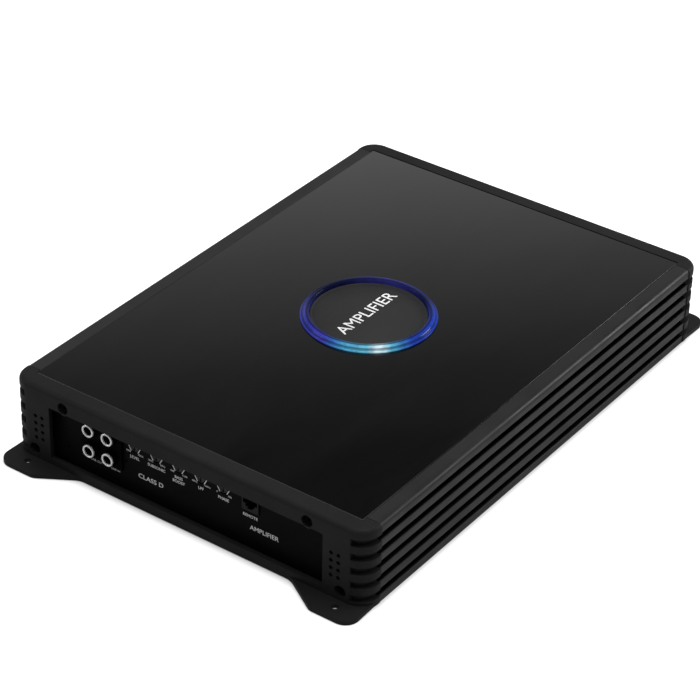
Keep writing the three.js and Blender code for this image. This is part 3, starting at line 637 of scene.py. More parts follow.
def fin_pattern(material):
    """Round-edged bars, stacked at one pitch on both sides of the shell."""
    tree = Pattern("heatsink fins", {"Count": 4, "Pitch": 9.4, "Reach": 6.0, "Thickness": 4.8,
                                     "Length": 325.3, "Edge": 0.45, "Lowest": 11.6, "Face": 125.5})
    inside = tree.inside
    section = tree.add("GeometryNodeCurvePrimitiveQuadrilateral",
                       {"Width": inside["Reach"], "Height": inside["Thickness"]}).outputs[0]
    section = tree.add("GeometryNodeFilletCurve", {"Curve": section, "Count": 4, "Radius": inside["Edge"],
                                                   "Limit Radius": True}, mode="POLY").outputs[0]
    half = tree.math("MULTIPLY", inside["Length"], 0.5)
    line = tree.add("GeometryNodeCurvePrimitiveLine", {
        "Start": tree.vector(y=tree.math("MULTIPLY", half, -1.0)), "End": tree.vector(y=half)}).outputs[0]
    bar = tree.add("GeometryNodeCurveToMesh", {"Curve": line, "Profile Curve": section,
                                               "Fill Caps": True}).outputs[0]
    centre = tree.math("SUBTRACT", inside["Face"], tree.math("MULTIPLY", inside["Reach"], 0.5))
    banks = []
    for side in (1.0, -1.0):
        start = tree.vector(tree.math("MULTIPLY", centre, side), 0.0, inside["Lowest"])
        points = tree.add("GeometryNodeMeshLine", {
            "Count": inside["Count"], "Start Location": start,
            "Offset": tree.vector(z=inside["Pitch"])}).outputs[0]
        banks.append(tree.at_places(bar, points))
    tree.end(tree.together(*banks), material)
    return tree


def socket_screw_pattern(material):
    """Round-headed screws with a hexagon socket, standing on Z."""
    tree = Pattern("socket head screws", {"Head radius": 2.75, "Head height": 2.8, "Rim": 0.35,
                                          "Socket radius": 1.45, "Socket depth": 1.8})
    inside = tree.inside
    rim_radius = tree.math("SUBTRACT", inside["Head radius"], inside["Rim"])
    crown = tree.add("GeometryNodeMeshCone", {
        "Vertices": 40, "Radius Top": rim_radius, "Radius Bottom": inside["Head radius"],
        "Depth": inside["Rim"]}).outputs["Mesh"]
    head = tree.add("GeometryNodeMeshBoolean", {}, operation="UNION", solver="EXACT")
    drum = tree.drum(40, inside["Head radius"], inside["Head height"],
                     tree.math("MULTIPLY", inside["Head height"], -0.5))
    tree.link(drum, head.inputs["Mesh 2"])
    tree.link(crown, head.inputs["Mesh 2"])
    socket = tree.drum(6, inside["Socket radius"], tree.math("MULTIPLY", inside["Socket depth"], 2.0),
                       inside["Rim"])
    screw = tree.without(head.outputs["Mesh"], socket)
    tree.end(tree.at_places(screw, inside["Places"]), material)
    return tree


def cross_screw_pattern(material):
    """Domed screws with a cross recess, standing on Z."""
    tree = Pattern("cross head screws", {"Radius": 1.5, "Dome": 0.7, "Cross": 1.7, "Arm": 0.4, "Depth": 0.45})
    inside = tree.inside
    ball = tree.add("GeometryNodeMeshUVSphere", {"Segments": 28, "Rings": 14,
                                                 "Radius": inside["Radius"]}).outputs["Mesh"]
    flatness = tree.math("DIVIDE", inside["Dome"], inside["Radius"])
    squash = tree.add("ShaderNodeCombineXYZ", {0: 1.0, 1: 1.0, 2: flatness}).outputs[0]
    dome = tree.add("GeometryNodeTransform", {"Geometry": ball, "Scale": squash}).outputs[0]
    arms = []
    for wide, narrow in (("Cross", "Arm"), ("Arm", "Cross")):
        depth = tree.math("MULTIPLY", inside["Depth"], 2.0)
        size = tree.vector(inside[wide], inside[narrow], depth)
        arm = tree.add("GeometryNodeMeshCube", {"Size": size}).outputs["Mesh"]
        arms.append(tree.shift(arm, tree.vector(z=inside["Dome"])))
    screw = tree.without(dome, *arms)
    tree.end(tree.at_places(screw, inside["Places"]), material)
    return tree


def sleeve_pattern(material):
    """Round sleeves with a rolled rim, made by sweeping a wall section round a circle on Z."""
    tree = Pattern("rolled sleeves", {"Radius": 3.8, "Wall": 0.65, "Length": 12.0, "Roll": 0.3})
    inside = tree.inside
    circle = tree.add("GeometryNodeCurvePrimitiveCircle", {"Resolution": 48,
                                                           "Radius": inside["Radius"]}).outputs[0]
    wall = tree.add("GeometryNodeCurvePrimitiveQuadrilateral", {
        "Width": inside["Wall"], "Height": inside["Length"]}).outputs[0]
    wall = tree.add("GeometryNodeFilletCurve", {"Curve": wall, "Count": 4, "Radius": inside["Roll"],
                                                "Limit Radius": True}, mode="POLY").outputs[0]
    sleeve = tree.add("GeometryNodeCurveToMesh", {"Curve": circle, "Profile Curve": wall}).outputs[0]
    low = tree.vector(z=tree.math("MULTIPLY", inside["Length"], -0.5))
    tree.end(tree.at_places(tree.shift(sleeve, low), inside["Places"]), material)
    return tree


def peg_pattern(material):
    """Plain pegs on Z, for vent holes and contact pins."""
    tree = Pattern("pegs", {"Sides": 16, "Radius": 1.0, "Length": 10.0})
    inside = tree.inside
    peg = tree.drum(inside["Sides"], inside["Radius"], inside["Length"], 0.0)
    tree.end(tree.at_places(peg, inside["Places"]), material)
    return tree


def tooth_ring_pattern(material):
    """Grip teeth set round a circle on Z."""
    tree = Pattern("grip teeth", {"Count": 24, "Radius": 3.0, "Tooth": 0.36, "Length": 1.6})
    inside = tree.inside
    circle = tree.add("GeometryNodeMeshCircle", {"Vertices": inside["Count"],
                                                 "Radius": inside["Radius"]}).outputs[0]
    tooth = tree.drum(6, tree.math("MULTIPLY", inside["Tooth"], 0.5), inside["Length"], 0.0)
    tree.end(tree.at_places(tooth, circle), material)
    return tree


def on_face(mesh, rear=False):
    """Turns a pattern made on X, Z places from standing on Z to facing out of the front or the rear."""
    copy = mesh.copy()
    copy.transform(TO_REAR if rear else TO_FRONT)
    return copy


def face_places(spots, y):
    """Places for a pattern that on_face will turn to the front, from X, Z spots at one Y."""
    return [(x, z, -y) for x, z in spots]


# ---- heatsink shell ----------------------------------------------------------------------
def make_heatsink():
    """The upturned-U extrusion with its lowest and highest fins, and the round-edged fins between."""
    wall = FIN_FACE - GROOVE_DEPTH
    low_fin = GROOVE_CENTRES[0] - GROOVE_HEIGHT / 2
    high_fin = GROOVE_CENTRES[-1] + GROOVE_HEIGHT / 2
    round_edge = 0.45
    half = [(0, 46.9), (111.5, 46.9), (111.5, 2.3), (117.5, 2.3), (117.5, 0), (FIN_FACE, 0)]
    half += arc((FIN_FACE - round_edge, low_fin - round_edge), round_edge, 0, 90, 4)
    half += [(wall, low_fin), (wall, high_fin)]
    half += arc((FIN_FACE - round_edge, high_fin + round_edge), round_edge, 270, 360, 4)
    half += arc((FIN_FACE - TOP_EDGE_RADIUS, HEIGHT - TOP_EDGE_RADIUS), TOP_EDGE_RADIUS, 0, 90, 10)
    half += [(115.7, HEIGHT), (115.5, HEIGHT - 0.2), (115.5, DECK_TOP), (0, DECK_TOP)]
    outline = half + [(-x, z) for x, z in reversed(half[1:-1])]
    body = smooth(prism_y(outline, -SHELL_END_Y, SHELL_END_Y), 28)
    finished("heatsink_body", body, FINISH["satin_black_aluminium"],
             stands_for=["heatsink_shell"])
    fins = smooth(fin_pattern(FINISH["satin_black_aluminium"]).grown(), 40)
    finished("heatsink_fins", fins, FINISH["satin_black_aluminium"],
             stands_for=["heatsink_shell"])


# ---- end caps ----------------------------------------------------------------------------
def cap_plan(inset, steps=12):
    """The cap's outline, its front and sides drawn in by an inset. The back edge stays put."""
    radius = CORNER_RADIUS - inset
    left = (-HALF_WIDTH + CORNER_RADIUS, FRONT_Y + CORNER_RADIUS)
    right = (HALF_WIDTH - CORNER_RADIUS, FRONT_Y + CORNER_RADIUS)
    outline = [(-HALF_WIDTH + inset, CAP_BACK_Y)]
    outline += arc(left, radius, 180, 270, steps)
    outline += arc(right, radius, 270, 360, steps)
    outline += [(HALF_WIDTH - inset, CAP_BACK_Y)]
    return outline


def cap_outer():
    rings = []
    for inset, z in [(0.5, 0), (0, 0.5)]:
        rings.append([(x, y, z) for x, y in cap_plan(inset)])
    steps = 8
    for i in range(steps + 1):
        angle = math.pi / 2 * i / steps
        inset = TOP_EDGE_RADIUS * (1 - math.cos(angle))
        z = HEIGHT - TOP_EDGE_RADIUS * (1 - math.sin(angle))
        rings.append([(x, y, z) for x, y in cap_plan(inset)])
    return loft(rings)


def corner_slot(side, z):
    """A slot that follows the rounded corner at one depth and ends square on the front face."""
    centre = (HALF_WIDTH - CORNER_RADIUS, FRONT_Y + CORNER_RADIUS)
    floor = CORNER_RADIUS - SLOT_DEPTH
    start = -math.degrees(math.acos((SLOT_START_X - centre[0]) / floor))
    outline = [(SLOT_START_X, FRONT_Y - 3), (HALF_WIDTH + 3, FRONT_Y - 3), (HALF_WIDTH + 3, CAP_BACK_Y + 3),
               (HALF_WIDTH - SLOT_DEPTH, CAP_BACK_Y + 3)]
    outline += reversed(arc(centre, floor, start, 0, 10))
    return prism_z([(side * x, y) for x, y in outline], z - GROOVE_HEIGHT / 2, z + GROOVE_HEIGHT / 2)


def foot(side):
    end = FRONT_Y - 14.5
    outline = [(HALF_WIDTH - 0.6, FRONT_Y + CORNER_RADIUS)]
    outline += arc((HALF_WIDTH - 8.8, end + 8.8), 8.8, 0, -90, 10)
    outline += arc((101.0, end + 6.5), 6.5, -90, -128, 6)
    outline += [(78.0, FRONT_Y - 1.2), (75.4, FRONT_Y - 0.2), (72.0, FRONT_Y + 0.5), (72.0, FRONT_Y + 4),
                (100.0, FRONT_Y + CORNER_RADIUS)]
    return prism_z([(side * x, y) for x, y in outline], 0.02, 2.6)


def make_end_caps():
    cavity_top = block((-100.5, 100.5), (FRONT_Y + 2.8, CAP_BACK_Y + 5), (3.6, 49.6))
    opening = prism_y(rounded_rectangle((-97.2, 97.2), (6.7, 42.0), 0.8), FRONT_Y - 1, FRONT_Y + 4)
    ledge = block((-115.5, 115.5), (-166.3, CAP_BACK_Y + 5), (DECK_TOP, HEIGHT + 3))
    sides = (1, -1)
    bosses = joined([rod_y(s * TOP_SCREW[0], TOP_SCREW[1], (FRONT_Y + 0.4, CAP_BACK_Y), 4.8, 48)
                     for s in sides])
    feet = joined([foot(s) for s in sides])
    screws = [(s * x, z) for s in sides for x, z in (TOP_SCREW, LOW_SCREW)]
    counterbores = joined([rod_y(x, z, (FRONT_Y - 1, FRONT_Y + 5), 3.7, 40) for x, z in screws])
    clearances = joined([rod_y(x, z, (FRONT_Y + 3, CAP_BACK_Y + 2), 1.8, 20) for x, z in screws])
    slots = joined([corner_slot(s, z) for s in sides for z in GROOVE_CENTRES])
    vents = [(s * x, VENT_LOW_Z + VENT_PITCH * row) for s in sides for x in VENT_COLUMNS for row in range(4)]
    vent_pegs = peg_pattern(FINISH["satin_black_casting"]).grown(
        face_places(vents, FRONT_Y + 3.5), Radius=VENT_RADIUS, Length=9.0)
    ducts = joined([block(tuple(sorted((s * 100, s * 111.5))), (PLATE_Y, CAP_BACK_Y + 5), (15, 46))
                    for s in sides])
    foot_holes = joined([rod_z(s * FOOT_HOLE_X, FRONT_Y - 5.7, (-1, 5), 2.1, 32) for s in sides])
    notches = joined([block((96.5, 98.3), (FRONT_Y + 0.8, FRONT_Y + 3), (z - 0.8, z + 0.8))
                      for z in NOTCH_CENTRES])
    hollow = cut(cap_outer(), cavity_top, opening, ducts)
    whole = shaped(hollow, [("UNION", bosses), ("UNION", feet)])
    carved = cut(whole, ledge, counterbores, clearances, slots, on_face(vent_pegs), foot_holes, notches)
    cap = soften(carved, 0.3, 2, 34)
    rear = moved(cap, turn=Matrix.Rotation(math.pi, 4, "Z"))
    for name, mesh in (("front_end_cap", cap), ("rear_end_cap", rear)):
        finished(name + "_casting", mesh, FINISH["satin_black_casting"],
                 stands_for=[name])
    return screws


def make_cap_screws(screws):
    pattern = socket_screw_pattern(FINISH["black_screw_steel"])
    heads = smooth(on_face(pattern.grown(face_places(screws, FRONT_Y + 1.9 + 0.35))), 30)
    rear = moved(heads, turn=Matrix.Rotation(math.pi, 4, "Z"))
    for side, mesh in (("front", heads), ("rear", rear)):
        nodes = [f"{side}_cap_screw_{i}" for i in range(1, 5)]
        finished(f"{side}_cap_socket_screws", mesh, FINISH["black_screw_steel"],
                 stands_for=nodes)


# ---- top panel, ring and disc ------------------------------------------------------------
def make_top():
    width, length = PANEL_HALF
    outline = rounded_rectangle((-width, width), (-length, length - 0.5), 0.8, 4)
    sheet = prism_z(outline, HEIGHT - 2, HEIGHT)
    sheet = cut(sheet, rod_z(0, 0, (HEIGHT - 5, HEIGHT + 1), 38.6, 128))
    finished("gloss_top_panel", soften(sheet, 0.3, 2, 40), FINISH["gloss_black_panel"],
             stands_for=["top_panel"])

    seat = DECK_TOP + 0.5
    crest = HEIGHT + 3.5
    profile = [(35.7, seat), (38.2, seat), (38.2, HEIGHT + 0.3), (41.3, HEIGHT + 0.3), (41.3, HEIGHT + 0.75),
               (41.15, HEIGHT + 0.95), (40.5, HEIGHT + 1.05)]
    profile += [(38.0 + 2.3 * math.cos(a), HEIGHT + 1.1 + 2.3 * math.sin(a))
                for a in (math.pi / 2 * i / 7 for i in range(8))]
    profile += [(37.7, crest - 0.02), (37.2, crest), (36.1, crest), (35.85, crest - 0.1), (35.7, crest - 0.3)]
    finished("lit_ring_lens", smooth(turned(profile, 128), 40), FINISH["blue_light_ring"],
             stands_for=["light_ring"])

    top = HEIGHT + 1
    disc = [(0, seat), (35.4, seat), (35.4, top - 0.35), (35.28, top - 0.1), (35.05, top), (34.2, top),
            (34.05, top - 0.12), (33.8, top - 0.12), (33.65, top), (0, top)]
    finished("satin_badge_disc", smooth(turned(disc, 128), 40), FINISH["satin_grey_disc"],
             stands_for=["badge_disc"])
    along_y = Matrix.Rotation(math.pi / 2, 4, "Z")
    word = lettering("AMPLIFIER", 8.2, Matrix.Translation((-1.5, 0, top)) @ along_y, depth=0.12, width=54)
    finished("badge_lettering", word, FINISH["white_print"])


# ---- lettering and marks -----------------------------------------------------------------
def lettering(words, height, place, depth=0.05, width=None, thicken=0.0):
    """Plain words as a thin raised print, centred on a place. Height is that of the capitals."""
    curve = bpy.data.curves.new("print", "FONT")
    curve.body = words
    curve.align_x = "CENTER"
    curve.align_y = "CENTER"
    curve.size = height / 0.7
    curve.extrude = depth / 2
    curve.offset = thicken
    curve.resolution_u = 3
    obj = bpy.data.objects.new("print", curve)
    scene.collection.objects.link(obj)
    mesh = evaluated_mesh(obj)
    bpy.data.objects.remove(obj)
    if width:
        across = [v.co.x for v in mesh.vertices]
        mesh.transform(Matrix.Scale(width / (max(across) - min(across)), 4, (1, 0, 0)))
    bm = bmesh.new()
    bm.from_mesh(mesh)
    bmesh.ops.remove_doubles(bm, verts=bm.verts, dist=1e-4)
    bmesh.ops.recalc_face_normals(bm, faces=bm.faces)
    bm.to_mesh(mesh)
    bm.free()
    mesh.transform(place @ Matrix.Translation((0, 0, depth / 2)))
    return mesh


def front_print(words, x, z, height, **more):
    return lettering(words, height, Matrix.Translation((x, PLATE_Y, z)) @ TO_FRONT, **more)


def rear_print(words, x, z, height, **more):
    return lettering(words, height, Matrix.Translation((x, -PLATE_Y, z)) @ TO_REAR, **more)


def stroke(start, end, width=0.5, y=PLATE_Y):
    """A straight printed line on the front plate, between two X, Z points."""
    a, b = Vector(start), Vector(end)
    across = (b - a).orthogonal().normalized() * width / 2
    outline = [tuple(a + across), tuple(b + across), tuple(b - across), tuple(a - across)]
    return prism_y(outline, y - 0.05, y)


# ---- control panel -----------------------------------------------------------------------
def plate_blank():
    sheet = block((-100, 100), (PLATE_Y, PLATE_Y + 1.6), (4, 49.2))
    reliefs = []
    for side in (1, -1):
        x, z = side * TOP_SCREW[0], TOP_SCREW[1]
        reliefs.append(rod_y(x, z, (PLATE_Y - 5, PLATE_Y + 5), 5.2, 40))
        span = tuple(sorted((x - side * 5.2, side * 101)))
        reliefs.append(block(span, (PLATE_Y - 4, PLATE_Y + 4), (z, 50)))
    return cut(sheet, *reliefs)


def make_control_panel():
    through = (PLATE_Y - 2, PLATE_Y + 4)
    dials = [middle(f"{name}_dial_shaft") for name in DIAL_NAMES]
    dial_holes = joined([rod_y(d.x, d.z, through, 3.8, 48) for d in dials])
    jack_low, jack_high = (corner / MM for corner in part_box("phono_jack_block"))
    jack_window = block((jack_low.x - 0.3, jack_high.x + 0.3), through, (16.1, jack_high.z + 0.3))
    plug_low, plug_high = (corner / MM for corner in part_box("remote_jack"))
    plug_window = block((plug_low.x - 0.3, plug_high.x + 0.3), through, (plug_low.z - 0.3, plug_high.z + 0.3))
    panel = soften(cut(plate_blank(), dial_holes, jack_window, plug_window), 0.15, 2, 40)
    finished("control_plate", panel, FINISH["matt_black_plate"],
             stands_for=["control_panel"])

    small = cross_screw_pattern(FINISH["black_screw_steel"])
    spots = [(-88.4, 16.2), (-78.1, 24.4), (-45.6, 24.0)]
    heads = small.grown(face_places(spots, PLATE_Y), Radius=1.1, Dome=0.5, Cross=1.3, Arm=0.3)
    heads = smooth(on_face(heads), 40)
    finished("plate_screws", heads, FINISH["black_screw_steel"])

    prints = []
    names = ["LEVEL", "SUBSONIC", "BASS", "LPF", "PHASE"]
    ends = [("MIN", "MAX"), ("10Hz", "50Hz"), ("0dB", "12dB"), ("40Hz", "150Hz"), ("0", "180")]
    for spot, name, (low, high) in zip(dials, names, ends):
        prints.append(front_print(name, spot.x, 28.9, 1.9, thicken=0.03))
        prints.append(front_print(low, spot.x - 4.4, 32.1, 1.25))
        prints.append(front_print(high, spot.x + 4.4, 32.1, 1.25))
        for side in (-1, 1):
            top, foot_end = (spot.x + side * 4.5, spot.z + 0.6), (spot.x + side * 2.4, spot.z - 3.2)
            prints.append(stroke(top, foot_end, 0.55))
    prints.append(front_print("BOOST", dials[2].x, 26.1, 1.9, thicken=0.03))
    prints.append(front_print("REMOTE", 43.3, 25.3, 1.9, thicken=0.03))
    prints.append(front_print("LINE OUT", -67.5, 14.2, 1.4))
    prints.append(front_print("LINE IN", -53.5, 14.2, 1.4))
    prints.append(front_print("CLASS D", -27.5, 18, 3.0, width=18, thicken=0.02))
    prints.append(front_print("AMPLIFIER", 53, 18, 3.0, width=20, thicken=0.02))
    finished("control_plate_print", joined(prints), FINISH["white_print"])


def make_phono_jacks():
    """Nickel sleeves and centre contacts in collars on the moulded block."""
    names = [f"phono_jack_shell_{i}" for i in range(1, 5)]
    spots = [(middle(name).x, middle(name).z) for name in names]
    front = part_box(names[0])[0].y / MM
    sleeves = sleeve_pattern(FINISH["nickel_rim"])
    rims = on_face(sleeves.grown(face_places(spots, front), Radius=3.52, Wall=1.24, Length=15.0, Roll=0.58))
    finished("phono_jack_sleeves", smooth(rims, 40), FINISH["nickel_rim"], stands_for=names)
    contacts = sleeves.grown(face_places(spots, front + 1.8), Radius=1.95, Wall=0.5, Length=6.0, Roll=0.2)
    contacts = on_face(contacts)
    finished("phono_jack_contacts", smooth(contacts, 40), FINISH["black_screw_steel"])

    face_y = PLATE_Y - 1.5
    low, high = (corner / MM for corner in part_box("phono_jack_block"))
    body = prism_y(rounded_rectangle((low.x, high.x), (16.4, high.z), 0.8), face_y, high.y)
    collars = joined([rod_y(x, z, (front + 1.0, face_y + 1), 4.85, 48) for x, z in spots])
    cores = joined([rod_y(x, z, (front + 1.0, -159), 3.1, 40) for x, z in spots])
    grooves = joined([rod_y(x, z, (front - 5, -160), 4.2, 48) for x, z in spots])
    pin_holes = joined([rod_y(x, z, (front - 5, -163), 2.25, 32) for x, z in spots])
    whole = shaped(body, [("UNION", collars), ("DIFFERENCE", grooves), ("UNION", cores),
                          ("DIFFERENCE", pin_holes)])
    legs = block((low.x + 2.3, high.x - 2.3), (-157, -152), (low.z, 17))
    finished("phono_jack_body", joined([soften(whole, 0.2, 2, 40), legs]), FINISH["matt_black_plastic"],
             stands_for=["phono_jack_block"])


def make_remote_jack():
    """Modular socket: stepped mouth with spring contacts on its roof."""
    low, high = (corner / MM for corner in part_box("remote_jack"))
    x = (low.x + high.x) / 2
    left_half = [(4.85, 39.9), (4.85, 34), (3.1, 34), (3.1, 32.2), (1.7, 32.2), (1.7, 30.9)]
    mouth = [(x - aside, z) for aside, z in left_half]
    mouth += [(x + aside, z) for aside, z in reversed(left_half)]
    shell = prism_y(rounded_rectangle((low.x, high.x), (low.z, high.z), 0.5), low.y, high.y)
    shell = cut(shell, prism_y(mouth, low.y - 1, -159))
    finished("remote_socket", soften(shell, 0.18, 2, 40), FINISH["black_plastic"],
             stands_for=["remote_jack"])
    pins = peg_pattern(FINISH["gold_contact"])
    places = [(x - 3.18 + 1.27 * i, 38.4, -(low.y + 5.0)) for i in range(6)]
    wires = on_face(pins.grown(places, Sides=8, Radius=0.26, Length=7.0))
    finished("remote_socket_contacts", smooth(wires, 50), FINISH["gold_contact"])


def make_dials():
    """Slotted trimmer shafts with a toothed rim, each on its own body."""
    teeth = tooth_ring_pattern(FINISH["dial_plastic"])
    for name in DIAL_NAMES:
        spot = middle(f"{name}_dial_shaft")
        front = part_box(f"{name}_dial_shaft")[0].y / MM
        profile = [(0, 0), (2.55, 0), (2.85, -0.12), (2.95, -0.4), (2.95, -3.5), (1.5, -3.5),
                   (1.5, -9.6), (0, -9.6)]
        shaft = turned(profile, 48)
        slot = block((-0.5, 0.5), (-2.4, 2.4), (-1.3, 1))
        cup = rod_z(0, 0, (-0.35, 1), 1.9, 32)
        shaft = soften(cut(shaft, cup, slot), 0.08, 1, 40)
        rim = moved(teeth.grown(Radius=2.86, Tooth=0.3, Length=1.5), (0, 0, -1.1))
        whole = smooth(joined([shaft, rim]), 35)
        whole.transform(Matrix.Translation((spot.x, front, spot.z)) @ TO_FRONT)
        finished(f"{name}_dial_knob", whole, FINISH["dial_plastic"], body=f"{name}_dial",
                 stands_for=[f"{name}_dial_shaft"])


# ---- terminal panel ----------------------------------------------------------------------
def make_terminals():
    through = (-PLATE_Y - 4, -PLATE_Y + 2)
    windows = []
    for node in ("power_terminal_block", "speaker_terminal_block", "fuse_holder"):
        low, high = (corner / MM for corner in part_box(node))
        windows.append(block((low.x - 0.3, high.x + 0.3), through, (low.z - 0.3, high.z + 0.3)))
    lamps = [middle("power_lamp"), middle("protect_lamp")]
    windows.append(joined([rod_y(spot.x, spot.z, through, 1.9, 32) for spot in lamps]))
    blank = moved(plate_blank(), turn=Matrix.Rotation(math.pi, 4, "Z"))
    finished("terminal_plate", soften(cut(blank, *windows), 0.15, 2, 40), FINISH["matt_black_plate"],
             stands_for=["terminal_panel"])

    ports = {"power_terminal_block": [("positive", 4.4), ("remote", 2.6), ("ground", 4.4)],
             "speaker_terminal_block": [("speaker_plus", 3.0), ("speaker_minus", 3.0)]}
    liners = []
    sleeves = sleeve_pattern(FINISH["nickel_plate"])
    for node, rows in ports.items():
        low, high = (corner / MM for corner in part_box(node))
        body = prism_y(rounded_rectangle((low.x, high.x), (low.z, high.z), 0.8), low.y, high.y)
        centres = [(middle(f"{name}_set_screw").x, radius) for name, radius in rows]
        screw_y = middle(f"{rows[0][0]}_set_screw").y
        wire_ports = joined([rod_y(x, PORT_Z, (high.y - 24, high.y + 1), radius, 40)
                             for x, radius in centres])
        bores = []
        for (x, _), (name, _) in zip(centres, rows):
            reach = (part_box(f"{name}_set_screw")[1].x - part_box(f"{name}_set_screw")[0].x) / MM / 2 + 0.3
            bores.append(rod_z(x, screw_y, (PORT_Z, high.z + 1), reach, 40))
        gap = (centres[1][0] - centres[0][0]) / 2
        fences = joined([block((x + gap - 0.5, x + gap + 0.5), (high.y - 1.2, high.y + 1),
                               (low.z + 1, high.z + 1)) for x, _ in centres[:-1]])
        whole = cut(body, wire_ports, joined(bores), fences)
        finished(node.replace("_block", "_moulding"), soften(whole, 0.3, 2, 40), FINISH["black_plastic"],
                 stands_for=[node])
        for (x, radius), (name, _) in zip(centres, rows):
            depth = high.y - 0.4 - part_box(f"{name}_set_screw")[1].y / MM - 0.4
            liner = sleeves.grown(face_places([(x, PORT_Z)], -(high.y - 0.4)), Radius=radius - 0.35,
                                  Wall=0.6, Length=depth, Roll=0.2)
            liners.append(moved(on_face(liner), turn=Matrix.Scale(-1, 4, (0, 1, 0))))
    lining = joined(liners)
    bm = bmesh.new()
    bm.from_mesh(lining)
    bmesh.ops.remove_doubles(bm, verts=bm.verts, dist=1e-4)
    bmesh.ops.recalc_face_normals(bm, faces=bm.faces)
    bm.to_mesh(lining)
    bm.free()
    finished("terminal_port_liners", smooth(lining, 40), FINISH["nickel_plate"])

    for name in SET_SCREWS:
        node = f"{name}_set_screw"
        low, high = (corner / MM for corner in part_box(node))
        spot = (low + high) / 2
        radius = (high.x - low.x) / 2
        height = high.z - low.z
        profile = [(0, 0), (radius - 0.4, 0), (radius, -0.4)]
        turns = int((height - 1.2) / 0.6)
        for i in range(turns):
            z = -0.7 - 0.6 * i
            profile += [(radius, z), (radius - 0.22, z - 0.3)]
        profile += [(radius - 0.5, -height), (0, -height)]
        screw = cut(turned(profile, 36), rod_z(0, 0, (-2, 1), radius * 0.55, 6))
        screw.transform(Matrix.Translation((spot.x, spot.y, high.z)))
        finished(f"{name}_clamp_screw", smooth(screw, 25), FINISH["nickel_plate"],
                 body=f"{name}_set_screw", stands_for=[node])

    prints = [rear_print(words, x, z, height, thicken=0.02) for words, x, z, height in (
        ("+12V", -76, 37.2, 2.4), ("REM", -57, 37.2, 2.4), ("GND", -38, 37.2, 2.4),
        ("SPEAKER", 50, 39.5, 2.2), ("+", 42, 36.2, 2.6), ("-", 58, 36.2, 2.6),
        ("FUSE", 0, 38.0, 2.2), ("POWER", 86.5, 29, 1.9),
        ("PROTECT", 87.5, 18, 1.9))]
    finished("terminal_plate_print", joined(prints), FINISH["white_print"])


def make_fuses():
    """Blade fuses: a waisted clear body over two flat blades."""
    for i in (1, 2, 3):
        node = f"fuse_{i}"
        low, high = (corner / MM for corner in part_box(node))
        spot = (low + high) / 2
        back = high.y - 12
        half_z = (high.z - low.z) / 2
        side = [(high.y, half_z), (high.y, -half_z), (high.y - 2.2, -half_z), (high.y - 2.6, -half_z + 0.8),
                (back + 2.9, -half_z + 0.8), (back + 2.5, -half_z), (back, -half_z), (back, half_z),
                (back + 2.5, half_z), (back + 2.9, half_z - 0.8), (high.y - 2.6, half_z - 0.8),
                (high.y - 2.2, half_z)]
        body = loft([[(x, y, spot.z + z) for y, z in side] for x in (low.x, high.x)])
        pocket = block((spot.x - 1.6, spot.x + 1.6), (back + 3.4, high.y + 1), (spot.z - 6.4, spot.z - 1.6))
        other = block((spot.x - 1.6, spot.x + 1.6), (back + 3.4, high.y + 1), (spot.z + 1.6, spot.z + 6.4))
        body = soften(cut(body, pocket, other), 0.3, 2, 40)
        number = lettering("30", 3.2, Matrix.Translation((spot.x, high.y, spot.z)) @ TO_REAR
                           @ Matrix.Rotation(math.pi / 2, 4, "Z"), depth=0.06)
        finished(f"fuse_body_{i}", body, FINISH["fuse_plastic"], body=node, stands_for=[node])
        finished(f"fuse_rating_{i}", number, FINISH["white_print"], body=node)
        blades = []
        for z in (-5.7, 5.7):
            blade = rounded_rectangle((spot.z + z - 2.6, spot.z + z + 2.6), (low.y, back + 4.2), 0.8)
            blades.append(loft([[(x, y, zz) for zz, y in blade] for x in (spot.x - 0.4, spot.x + 0.4)]))
        finished(f"fuse_blades_{i}", soften(joined(blades), 0.1, 1, 40), FINISH["zinc_steel"],
                 body=node)

    low, high = (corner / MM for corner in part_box("fuse_holder"))
    pockets = []
    for i in (1, 2, 3):
        x = middle(f"fuse_{i}").x
        z = (low.z + high.z) / 2
        pockets.append(block((x - 2.85, x + 2.85), (172.0, 190), (z - 9.85, z + 9.85)))
        for dz in (-5.7, 5.7):
            pockets.append(block((x - 0.8, x + 0.8), (162, 175), (z + dz - 2.9, z + dz + 2.9)))
    body = prism_y(rounded_rectangle((low.x, high.x), (low.z, high.z), 0.8), low.y, high.y)
    holder = cut(body, joined(pockets[0::3]), joined(pockets[1::3]), joined(pockets[2::3]))
    finished("fuse_holder_moulding", soften(holder, 0.3, 2, 40), FINISH["black_plastic"],
             stands_for=["fuse_holder"])


def make_lamps():
    for node in ("power_lamp", "protect_lamp"):
        low, high = (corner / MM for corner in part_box(node))
        spot = (low + high) / 2
        profile = [(0, 0), (2.2, 0), (2.2, 2), (1.5, 2), (1.5, high.y - low.y - 1.5)]
        profile += [(1.5 * math.cos(a), high.y - low.y - 1.5 + 1.5 * math.sin(a))
                    for a in (math.pi / 2 * i / 8 for i in range(1, 8))]
        profile += [(0, high.y - low.y)]
        lamp = turned(profile, 32)
        lamp.transform(Matrix.Translation((spot.x, low.y, spot.z)) @ TO_REAR)
        finished(node + "_lens", smooth(lamp, 40), FINISH["lamp_lens"], stands_for=[node])


# ---- base and inside ---------------------------------------------------------------------
def make_base_screws():
    nodes = [f"base_screw_{i}" for i in range(1, 5)]
    pattern = cross_screw_pattern(FINISH["zinc_steel"])
    places = [(middle(node).x, -middle(node).y, -1.35) for node in nodes]
    heads = pattern.grown(places, Radius=2.7, Dome=1.2, Cross=3.0, Arm=0.7, Depth=0.7)
    heads.transform(Matrix.Rotation(math.pi, 4, "X"))
    finished("base_plate_screws", smooth(heads, 40), FINISH["zinc_steel"], stands_for=nodes)


